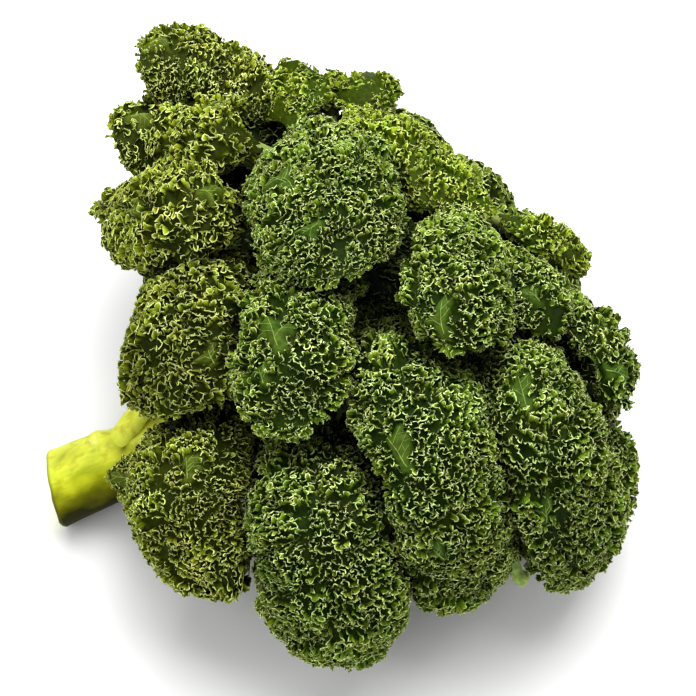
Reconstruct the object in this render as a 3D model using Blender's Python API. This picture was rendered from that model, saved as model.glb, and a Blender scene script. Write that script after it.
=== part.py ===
"""Kale bunch: one cut head of curly kale lying on its side.

A thick cut stalk carries every leaf.  Each leaf is one solid: a slim petiole
that leaves the stalk and a puffy, arched blade that follows the outside of
the head.  Metres, +Z up, the surface it lies on is z = 0.
"""
import math

import bmesh
import bpy
import numpy as np
from mathutils.bvhtree import BVHTree

# ---------------------------------------------------------------- dimensions
MM = 0.001
ORIGIN = (-6.56, -65.73)                # plan centre of the head, mm

HEAD_CENTRE = (16.0, -56.0, 80.0)     # guide dome of the head, mm
HEAD_RADII = (177.0, 227.0, 155.0)

UPPER_FRONT = (0.0, -0.574, 0.819)

STALK_CUT = (-187.0, -128.0, 24.6)    # centre of the cut face
STALK_DIR = (42.0, 14.5, 11.0)
STALK_LENGTH = 275.0
STALK_RADIUS_CUT = 25.5
CUT_SLANT = 0.20                      # how far the cut leans out at its low front side
STALK_RADIUS_TOP = 13.0

PETIOLE_RADIUS = 4.6
BLADE_THICK = 19.0                    # depth of the ruffled blade
SEAM = 0.9                            # air between touching pieces
REST = 0.0                            # height of the surface

# name, root along the stalk 0..1, spine of the blade from its neck to its tip,
# greatest width, half angle of the arch, thickness, lean of its face towards
# the upper front of the head; all in mm and degrees
LEAVES = (
    ("leaf_a", 0.8, ((-43, 102, 135), (-69, 108, 148), (-104, 118, 160), (-145, 116, 166)), 74, 52, 19, 0.55, 0.35),
    ("leaf_b", 0.7, ((-57, 41.1, 166.7), (-84, 35.1, 184.7), (-123, 70.1, 146.7), (-161, 68.1, 149.7)), 76, 54, 19, 0.45, 0.35),
    ("leaf_c_back", 0.5, ((-108, 42, 122), (-133, 34, 128), (-152, 28, 128), (-168, 24, 124)), 62, 50, 14, 0.2, 0.22),
    ("leaf_c", 0.6, ((-57, -26, 182), (-84, -37, 203), (-116, -30, 194), (-156, 12, 134)), 78, 55, 20, 0.35, 0.35),
    ("leaf_d", 0.5, ((-74, -44, 168), (-92, -80, 187), (-106, -118, 186), (-106, -170, 161)), 95, 60, 20, 0.3, 0.45),
    ("leaf_e", 0.38, ((-84, -134.3, 136), (-97, -159.3, 142), (-109, -195.3, 141), (-107, -219.3, 117), (-99, -230.3, 86), (-111, -218.3, 75)), 94, 60, 20, 0.3, 0.8),
    ("leaf_e_left", 0.46, ((-121, -129, 71), (-130, -139, 70), (-141, -148, 69), (-152, -155, 69)), 49, 45, 12, 0.3, 0.3),
    ("leaf_f", 0.9, ((-28, 48.6, 180.5), (-19, -27.4, 233.5), (-11, -79.4, 244.5), (1, -120.4, 232.5)), 101, 60, 20, 0, 0.3),
    ("leaf_g", 0.66, ((-15, -48, 189), (-29, -102, 215), (-36, -153, 217), (-36, -203, 191)), 76, 60, 20, 0, 0.45),
    ("leaf_h", 0.46, ((-39, -128.2, 146.8), (-33, -168.2, 149.8), (-27, -206.2, 163.8), (-20, -247.2, 159.8), (-13, -276.2, 120.8), (-12, -273.2, 77.8), (-10, -255.2, 27.8)), 92, 60, 20, 0, 0.6),
    ("leaf_h_right", 0.44, ((30, -205, 136), (29, -229, 142), (27, -250, 126), (26, -240, 95), (28, -236, 50)), 32, 45, 13, 0, 0.3),
    ("leaf_i", 0.72, ((13, -86, 173), (22, -127, 194), (35, -164, 207), (51, -206, 202), (62, -238, 176), (72, -244, 122), (77, -232, 74), (78, -212, 32)), 83, 60, 20, 0, 0.5),
    ("leaf_j", 0.92, ((65, -39.3, 204.3), (67, -95.3, 231.3), (68, -132.3, 232.3), (67, -162.3, 217.3)), 75, 58, 20, 0, 0.5),
    ("leaf_j_under", 0.8, ((66, -114.2, 160.8), (74, -145.2, 177.8), (80, -160.2, 176.8), (86, -170.2, 168.8)), 52, 50, 13, 0, 0.4),
    ("leaf_k", 0.84, ((102, -83, 154), (110, -127, 178), (129, -186, 177), (145, -208, 131), (155, -208, 87), (153, -196, 36)), 88, 60, 20, 0, 0.5),
    ("leaf_k_right", 0.76, ((161, -99, 83), (172, -125, 78), (177, -159, 70), (166, -178, 42)), 57, 50, 14, 0.1, 0.3),
    ("leaf_l", 0.94, ((91, -46.1, 177.3), (108, -76.1, 190.3), (119, -98.1, 187.3), (122, -121.1, 174.3)), 64, 50, 16, 0, 0.3),
    ("leaf_l_right", 0.9, ((141, -53.8, 132.6), (156, -94.8, 159.6), (169, -117.8, 153.6), (171, -135.8, 127.6)), 60, 52, 16, 0, 0.3),
    ("leaf_m", 0.98, ((93, -14, 167), (112, -30, 176), (132, -34, 167), (156, -27, 135)), 32, 45, 13, 0, 0.3),
    ("leaf_n", 0.97, ((4, 70, 170), (27, 18, 204), (56, -18.1, 211.3), (90, -45.1, 202.3)), 60, 52, 16, 0.1, 0.45),
    ("leaf_o", 0.86, ((-36, 72.9, 148.3), (-38, 93.9, 151.3), (-37, 117.9, 149.3), (-32, 130.9, 156.3)), 60, 45, 13, 0.3, 0.3),
    ("leaf_o_right", 0.9, ((-12, 83.9, 143.3), (-11, 96.9, 148.3), (-10, 116.9, 142.3), (-11, 127.9, 149.3)), 32, 40, 11, 0.3, 0.4),
    ("leaf_p", 0.94, ((9, 70, 152), (10, 80, 161), (12, 98, 165), (14, 118.4, 153)), 44, 45, 12, 0.3, 0.3),
    ("leaf_inner_1", 0.78, ((19, -31, 156), (17, -73, 175), (17, -97, 176), (16, -118, 170)), 42, 40, 12, 0, 0.4),
    ("leaf_inner_2", 0.6, ((9, -131, 140), (13, -169, 145), (17, -195, 140), (19, -214, 127)), 43, 40, 12, 0, 0.4),
    ("leaf_inner_3", 0.44, ((-64, -91, 125), (-63, -72, 147), (-64, -38, 148), (-65, 12, 132), (-66, 48, 124)), 50, 40, 12, 0, 0.4),
    ("leaf_inner_4", 0.46, ((-57, -107, 119), (-56, -145, 126), (-54, -177, 124), (-56, -195, 107)), 40, 40, 12, 0, 0.4),
    ("leaf_inner_5", 0.74, ((95, -125, 100), (98, -161, 106), (102, -179, 86), (108, -184, 70)), 40, 40, 12, 0, 0.4),
    ("leaf_back_1", 0.82, ((-30, 74, 136), (-48, 104, 128), (-60, 130, 92), (-62, 140, 52), (-56, 138, 22)), 86, 55, 17, 0, 0.4),
    ("leaf_back_2", 0.95, ((16, 64, 146), (28, 92, 136), (34, 118, 98), (34, 130, 56), (30, 130, 22)), 86, 55, 17, 0, 0.4),
    ("leaf_back_3", 0.96, ((60, 22, 150), (82, 42, 132), (98, 64, 96), (102, 80, 54), (98, 84, 22)), 82, 55, 17, 0, 0.4),
    ("leaf_back_4", 0.93, ((94, -10, 136), (124, -4, 120), (144, 10, 84), (150, 22, 46), (146, 26, 20)), 72, 55, 17, 0, 0.4),
    ("leaf_back_5", 0.85, ((122, -46, 92), (152, -50, 90), (168, -56, 60), (166, -58, 22)), 62, 52, 16, 0, 0.4),
    ("leaf_left_1", 0.66, ((-70, 58, 112), (-100, 82, 106), (-122, 92, 72), (-124, 92, 40), (-120, 88, 18)), 80, 55, 16, 0, 0.4),
    ("leaf_left_2", 0.45, ((-92, 14, 70), (-118, 20, 76), (-134, 24, 48), (-132, 24, 18)), 66, 52, 15, 0, 0.4),
    ("leaf_left_3", 0.32, ((-98, -42, 76), (-118, -44, 80), (-132, -46, 54), (-130, -46, 20)), 62, 52, 14, 0, 0.4),
    ("leaf_low_1", 0.66, ((-2, -66, 34), (-10, -100, 9), (-18, -160, 6.5), (-22, -220, 6.5)), 100, 30, 16, 0, 0.4),
    ("leaf_low_2", 0.7, ((48, -60, 32), (74, -92, 9), (100, -134, 6.5), (118, -172, 6.5)), 92, 30, 16, 0, 0.4),
    ("leaf_low_3", 0.9, ((78, -38, 34), (104, -26, 9), (130, -14, 6.5), (154, -2, 6.5)), 84, 30, 16, 0, 0.4),
    ("leaf_low_4", 0.62, ((-24, 2, 34), (-48, 24, 9), (-72, 44, 6.5), (-92, 62, 6.5)), 84, 30, 16, 0, 0.4),
    ("leaf_low_5", 0.88, ((22, 8, 34), (28, 40, 9), (32, 74, 6.5), (34, 106, 6.5)), 88, 30, 16, 0, 0.4),
    ("leaf_mid_1", 0.93, ((6, 36, 142), (10, 68, 155), (12, 93, 140), (14, 112, 110)), 58, 52, 15, 0, 0.4),
    ("leaf_mid_2", 0.97, ((36, -14, 168), (58, 8, 171), (72, 24, 156), (80, 34, 128)), 66, 52, 14, 0, 0.85),
    ("leaf_mid_3", 0.95, ((84, -30, 148), (106, -12, 150), (126, -6, 130), (138, 4, 100)), 60, 52, 14, 0, 0.4),
    ("leaf_mid_4", 0.90, ((106, -46, 126), (132, -44, 128), (149, -44, 110), (160, -46, 78)), 54, 52, 13, 0, 0.4),
    ("leaf_mid_5", 0.68, ((-40, 56, 122), (-68, 80, 132), (-94, 96, 120), (-106, 104, 92)), 70, 52, 15, 0, 0.4),
    ("leaf_mid_6", 0.52, ((-68, 8, 112), (-98, 16, 124), (-126, 28, 108), (-138, 34, 74)), 72, 52, 15, 0, 0.4),
    ("leaf_mid_7", 0.42, ((-76, -36, 106), (-104, -38, 122), (-130, -40, 106), (-141, -44, 72)), 70, 52, 14, 0, 0.4),
    ("leaf_mid_8", 0.82, ((112, -78, 104), (144, -86, 112), (166, -90, 92), (174, -92, 54)), 60, 52, 14, 0, 0.4),
    ("leaf_mid_9", 0.36, ((-92, -66, 84), (-112, -72, 92), (-132, -76, 74), (-138, -78, 44)), 50, 50, 12, 0, 0.4),
)

# the leaves that keep their shape where two press together, firmest first
FIRM = (
    "leaf_f", "leaf_j", "leaf_a", "leaf_c", "leaf_d", "leaf_g", "leaf_i", "leaf_k",
    "leaf_b", "leaf_e", "leaf_h", "leaf_l_right", "leaf_n", "leaf_l", "leaf_o",
    "leaf_m", "leaf_p", "leaf_o_right",
)


# ------------------------------------------------------------------ geometry
def vec(*p):
    return np.array(p if len(p) > 1 else p[0], dtype=float)


def unit(v):
    return v / np.linalg.norm(v)


CENTRE, RADII = vec(HEAD_CENTRE), vec(HEAD_RADII)
AXIS = unit(vec(STALK_DIR))
FRONT = unit(vec(UPPER_FRONT))


def outward(p, lean):
    """Direction that faces out of the head at a point."""
    return unit(unit((p - CENTRE) / RADII ** 2) * (1.0 - lean) + FRONT * lean)


def stalk_radius(s):
    return STALK_RADIUS_CUT + (STALK_RADIUS_TOP - STALK_RADIUS_CUT) * s ** 1.2


def stalk_point(s):
    bend = vec(0.0, 0.0, 10.0) * s * s
    return vec(STALK_CUT) + AXIS * STALK_LENGTH * s + bend


def smooth(x):
    x = min(1.0, max(0.0, x))
    return x * x * (3.0 - 2.0 * x)


def catmull(points, per):
    """Smooth curve through the points, per steps in each span."""
    pts = [2 * points[0] - points[1]] + list(points) + [2 * points[-1] - points[-2]]
    out = []
    for a, b, c, d in zip(pts, pts[1:], pts[2:], pts[3:]):
        ta = 0.0
        tb = ta + math.sqrt(np.linalg.norm(b - a))
        tc = tb + math.sqrt(np.linalg.norm(c - b))
        td = tc + math.sqrt(np.linalg.norm(d - c))
        for i in range(per):
            t = tb + (tc - tb) * i / per
            p1 = a + (b - a) * (t - ta) / (tb - ta)
            p2 = b + (c - b) * (t - tb) / (tc - tb)
            p3 = c + (d - c) * (t - tc) / (td - tc)
            q1 = p1 + (p2 - p1) * (t - ta) / (tc - ta)
            q2 = p2 + (p3 - p2) * (t - tb) / (td - tb)
            out.append(q1 + (q2 - q1) * (t - tb) / (tc - tb))
    out.append(vec(points[-1]))
    return np.array(out)


def hermite(p0, m0, p1, m1, steps):
    out = []
    for i in range(steps):
        t = i / steps
        out.append(
            (2 * t ** 3 - 3 * t ** 2 + 1) * p0 + (t ** 3 - 2 * t ** 2 + t) * m0
            + (3 * t ** 2 - 2 * t ** 3) * p1 + (t ** 3 - t ** 2) * m1
        )
    return out


def resample(line, count):
    """The curve at equal steps, and its length."""
    seg = np.linalg.norm(np.diff(line, axis=0), axis=1)
    run = np.concatenate([[0.0], np.cumsum(seg)])
    at = np.linspace(0.0, run[-1], count)
    return np.stack([np.interp(at, run, line[:, k]) for k in range(3)], 1), run[-1]


def leaf_spine(root, spine):
    """Petiole and blade centre lines of one leaf."""
    spine = [vec(p) for p in spine]
    blade = catmull(spine, 12)
    start, heading = blade[0], unit(blade[1] - blade[0])
    base = stalk_point(root)
    away = start - base
    away -= AXIS * (away @ AXIS)
    away = unit(away)
    begin = base + away * (stalk_radius(root) * 0.92)
    reach = np.linalg.norm(start - begin)
    petiole = hermite(begin, unit(away + 0.55 * AXIS) * reach * 0.75, start, heading * reach * 0.75, 24)
    return np.array(petiole + [start]), blade


def carried(points, tangent, i, normal, step):
    """Face normals carried along a line without twist, from point i to one end."""
    out = {i: normal}
    end = len(points) if step > 0 else -1
    for k in range(i, end - step, step):
        j = k + step
        if not 0 <= j < len(points):
            break
        chord = points[j] - points[k]
        c = chord @ chord
        n = out[k] - chord * (2.0 / c) * (chord @ out[k])
        t = tangent[k] - chord * (2.0 / c) * (chord @ tangent[k])
        turn = tangent[j] - t
        c = turn @ turn
        if c > 1e-12:
            n = n - turn * (2.0 / c) * (turn @ n)
        out[j] = unit(n - tangent[j] * (n @ tangent[j]))
    return out


def frames(points, face_at, lean):
    """Tangents and face normals of a line whose face looks out of the head at one point."""
    tangent = np.gradient(points, axis=0)
    tangent /= np.linalg.norm(tangent, axis=1)[:, None]
    n = outward(points[face_at], lean)
    n = unit(n - tangent[face_at] * (n @ tangent[face_at]))
    found = carried(points, tangent, face_at, n, 1)
    found.update(carried(points, tangent, face_at, n, -1))
    return tangent, np.array([found[i] for i in range(len(points))])


def width_profile(t, neck):
    """Half width of the blade along its length, 0..1 of the greatest."""
    grow = neck + (1.0 - neck) * smooth(t / 0.36)
    tip = math.sqrt(max(0.0, 1.0 - max(0.0, (t - 0.62) / 0.40) ** 2.4))
    return grow * tip


def section(half, arch, thick, blend):
    """Ten points round the blade: a thick arched band, or a round petiole."""
    ring = []
    radius = max(half / math.sin(arch), thick * 1.25)
    span = math.asin(min(1.0, half / radius))
    for k in (-1.0, -0.62, -0.22, 0.22, 0.62, 1.0):
        a = span * k
        ring.append((radius * math.sin(a), radius * math.cos(a) - radius + thick * 0.5))
    for k in (0.80, 0.30, -0.30, -0.80):
        a = span * k
        depth = thick * (1.0 if abs(k) < 0.5 else 0.86)
        ring.append(((radius - depth) * math.sin(a), (radius - depth) * math.cos(a) - radius + thick * 0.5))
    ring = np.array(ring)
    angle = np.radians([162, 126, 96, 84, 54, 18, -30, -72, -108, -150])
    angle = np.radians([180 - 18, 180 - 54, 180 - 80, 80, 54, 18, -30, -72, -108, -150])
    circle = PETIOLE_RADIUS * np.stack([np.cos(angle), np.sin(angle)], 1)
    return circle + (ring - circle) * blend


def loft(name, rings, material):
    """Closed mesh through rings of equal count, fanned at both ends."""
    count = len(rings[0])
    verts = [tuple(p * MM) for ring in rings for p in ring]
    faces = []
    for i in range(len(rings) - 1):
        a, b = i * count, (i + 1) * count
        for k in range(count):
            n = (k + 1) % count
            faces.append((a + k, a + n, b + n, b + k))
    first, last = np.mean(rings[0], axis=0), np.mean(rings[-1], axis=0)
    verts += [tuple(first * MM), tuple(last * MM)]
    end = (len(rings) - 1) * count
    for k in range(count):
        n = (k + 1) % count
        faces.append((len(verts) - 2, k, n)[::-1])
        faces.append((len(verts) - 1, end + k, end + n))
    mesh = bpy.data.meshes.new(name)
    mesh.from_pydata(verts, [], faces)
    bm = bmesh.new()
    bm.from_mesh(mesh)
    bmesh.ops.recalc_face_normals(bm, faces=bm.faces)
    bmesh.ops.triangulate(bm, faces=bm.faces)
    bm.to_mesh(mesh)
    bm.free()
    mesh.shade_smooth()
    mesh.materials.append(material)
    piece = bpy.data.objects.new(name, mesh)
    bpy.context.scene.collection.objects.link(piece)
    return piece


def at(line, x):
    """Row of a table at a fractional index."""
    i = min(len(line) - 2, int(x))
    return line[i] + (line[i + 1] - line[i]) * (x - i)


def leaf_rings(root, spine, width, arch, thick, lean, neck):
    petiole, blade = leaf_spine(root, spine)
    stem, _ = resample(petiole, 25)
    line, length = resample(blade, 41)
    whole = np.concatenate([stem[:-1], line])
    tangent, normal = frames(whole, 24 + 22, lean)
    blade_at = np.concatenate([np.linspace(0.0, 0.84, 6 + (length > 110.0) + (length > 160.0)), [0.935, 0.985]])
    rings = []
    for x in (0.0, 6.0, 12.0, 18.5):
        p, t, n = at(whole, x), unit(at(tangent, x)), unit(at(normal, x))
        side = unit(np.cross(t, n))
        rings.append([p + side * a + n * b for a, b in section(8.0, 0.8, 9.0, 0.0)])
    for u in blade_at:
        x = 24 + u * 40
        p, t, n = at(whole, x), unit(at(tangent, x)), unit(at(normal, x))
        side = unit(np.cross(t, n))
        half = max(6.0, width * 0.5 * width_profile(u, neck))
        blend = smooth(u / 0.16) * (0.9 - 0.6 * neck) + 0.1 + 0.6 * neck
        th = thick * (0.62 + 0.38 * smooth(u / 0.35)) * (1.0 - 0.40 * smooth((u - 0.8) / 0.2))
        rings.append([p + side * a + n * b for a, b in section(half, math.radians(arch), th, blend)])
    shift = vec(ORIGIN[0], ORIGIN[1], 0.0)
    out = []
    for ring in rings:
        ring = np.array(ring) - shift
        ring[:, 2] = np.maximum(ring[:, 2], REST)
        out.append(ring)
    return out


def stalk_rings():
    rings = []
    count = 18
    side = unit(np.cross(AXIS, vec(0, 0, 1)))
    up = unit(np.cross(side, AXIS))
    high = unit(vec(0.0, 0.819, 0.574) - AXIS * (vec(0.0, 0.819, 0.574) @ AXIS))
    for s in np.linspace(0.0, 1.0, 11):
        c, r = stalk_point(s), stalk_radius(s)
        ring = []
        for k in range(count):
            a = 2 * math.pi * k / count
            q = (side * math.cos(a) + up * math.sin(a)) * r
            lean = (q @ high - r) * CUT_SLANT * max(0.0, 1.0 - 8.0 * s)
            ring.append(c + q + AXIS * lean)
        ring = np.array(ring) - vec(ORIGIN[0], ORIGIN[1], 0.0)
        ring[:, 2] = np.maximum(ring[:, 2], REST)
        rings.append(ring)
    return rings


def swollen(piece, by):
    """Hidden copy of a piece, grown by a little: the room it presses out of its neighbours."""
    bm = bmesh.new()
    bm.from_mesh(piece.data)
    bm.normal_update()
    grown = [v.co + v.normal * by for v in bm.verts]
    for v, co in zip(bm.verts, grown):
        v.co = co
    mesh = bpy.data.meshes.new("press_" + piece.name)
    bm.to_mesh(mesh)
    bm.free()
    cutter = bpy.data.objects.new("press_" + piece.name, mesh)
    cutter.hide_render = True
    cutter.display_type = "WIRE"
    bpy.context.scene.collection.objects.link(cutter)
    return cutter


def tree(piece):
    bm = bmesh.new()
    bm.from_mesh(piece.data)
    found = BVHTree.FromBMesh(bm)
    bm.free()
    return found


def press_out(piece, cutters):
    """Cuts the neighbours' room out of a piece and keeps its main body."""
    for cutter in cutters:
        cut = piece.modifiers.new(cutter.name, "BOOLEAN")
        cut.operation = "DIFFERENCE"
        cut.solver = "EXACT"
        cut.object = cutter
    graph = bpy.context.evaluated_depsgraph_get()
    mesh = bpy.data.meshes.new_from_object(piece.evaluated_get(graph))
    piece.modifiers.clear()
    bm = bmesh.new()
    bm.from_mesh(mesh)
    bmesh.ops.remove_doubles(bm, verts=bm.verts, dist=0.00002)
    bmesh.ops.dissolve_degenerate(bm, edges=bm.edges, dist=0.00002)
    bm.verts.ensure_lookup_table()
    seen, islands = set(), []
    for start in bm.verts:
        if start in seen:
            continue
        island, queue = [], [start]
        seen.add(start)
        while queue:
            v = queue.pop()
            island.append(v)
            for e in v.link_edges:
                w = e.other_vert(v)
                if w not in seen:
                    seen.add(w)
                    queue.append(w)
        islands.append(island)
    islands.sort(key=len, reverse=True)
    crumbs = [v for island in islands[1:] for v in island]
    bmesh.ops.delete(bm, geom=crumbs, context="VERTS")
    bmesh.ops.triangulate(bm, faces=bm.faces)
    bm.to_mesh(mesh)
    bm.free()
    old = piece.data
    piece.data = mesh
    bpy.data.meshes.remove(old)
    mesh.shade_smooth()


def material(name, colour, roughness):
    mat = bpy.data.materials.new(name)
    mat.use_nodes = True
    shader = mat.node_tree.nodes["Principled BSDF"]
    shader.inputs["Base Color"].default_value = (*colour, 1.0)
    shader.inputs["Roughness"].default_value = roughness
    shader.inputs["Metallic"].default_value = 0.0
    return mat


# --------------------------------------------------------------------- build
for item in list(bpy.data.objects):
    bpy.data.objects.remove(item)

stalk = loft("stalk", stalk_rings(), material("stalk_flesh", (0.60, 0.68, 0.10), 0.42))
leaves = [
    loft(row[0], leaf_rings(*row[1:]), material(row[0] + "_green", (0.16, 0.24, 0.05), 0.5))
    for row in LEAVES
]

# a leaf lower in the table gives way to those above it, and all to the stalk
cutters = [swollen(piece, SEAM * MM) for piece in leaves]
trunk = swollen(stalk, SEAM * MM)
room = [tree(piece) for piece in cutters]
rank = {name: i for i, name in enumerate(FIRM)}
order = sorted(range(len(leaves)), key=lambda i: rank.get(leaves[i].name, len(FIRM) + i))
for place, i in enumerate(order):
    firm = [cutters[j] for j in order[:place] if room[i].overlap(room[j])]
    press_out(leaves[i], [trunk] + firm)
for cutter in cutters + [trunk]:
    bpy.data.objects.remove(cutter)
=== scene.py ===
"""Kale bunch: the pieces that are seen, over the CAD frame."""

import math

import bpy
import numpy as np
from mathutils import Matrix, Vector
from mathutils.bvhtree import BVHTree


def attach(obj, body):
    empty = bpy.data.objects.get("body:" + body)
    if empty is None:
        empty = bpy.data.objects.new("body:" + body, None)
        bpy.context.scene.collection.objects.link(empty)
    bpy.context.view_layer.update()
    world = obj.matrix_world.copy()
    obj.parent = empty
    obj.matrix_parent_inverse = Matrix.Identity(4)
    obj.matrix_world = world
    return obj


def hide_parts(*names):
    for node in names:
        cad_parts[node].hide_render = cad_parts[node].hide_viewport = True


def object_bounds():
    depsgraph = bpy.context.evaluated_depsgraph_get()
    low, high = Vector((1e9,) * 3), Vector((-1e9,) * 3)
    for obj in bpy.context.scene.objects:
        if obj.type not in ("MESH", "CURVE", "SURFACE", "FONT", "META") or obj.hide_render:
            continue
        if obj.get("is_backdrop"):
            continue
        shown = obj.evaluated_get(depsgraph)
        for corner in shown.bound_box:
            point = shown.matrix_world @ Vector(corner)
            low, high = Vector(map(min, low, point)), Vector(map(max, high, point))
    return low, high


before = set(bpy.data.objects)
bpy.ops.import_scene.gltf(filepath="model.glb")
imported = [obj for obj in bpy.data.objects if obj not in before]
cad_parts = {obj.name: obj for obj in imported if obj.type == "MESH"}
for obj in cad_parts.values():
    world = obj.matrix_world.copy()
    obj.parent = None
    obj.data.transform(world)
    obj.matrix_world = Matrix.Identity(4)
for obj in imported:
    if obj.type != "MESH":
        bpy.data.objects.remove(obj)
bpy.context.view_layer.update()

# ---------------------------------------------------------------- dimensions
MM = 0.001
ORIGIN = (-6.56, -65.73)                # plan centre of the head, mm

HEAD_CENTRE = (16.0, -56.0, 80.0)     # guide dome of the head, mm
HEAD_RADII = (177.0, 227.0, 155.0)

UPPER_FRONT = (0.0, -0.574, 0.819)

STALK_CUT = (-187.0, -128.0, 24.6)    # centre of the cut face
STALK_DIR = (42.0, 14.5, 11.0)
STALK_LENGTH = 275.0
STALK_RADIUS_CUT = 25.5
CUT_SLANT = 0.20                      # how far the cut leans out at its low front side
STALK_RADIUS_TOP = 13.0

PETIOLE_RADIUS = 4.6
BLADE_THICK = 19.0                    # depth of the ruffled blade
SEAM = 0.9                            # air between touching pieces
REST = 0.0                            # height of the surface

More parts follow.
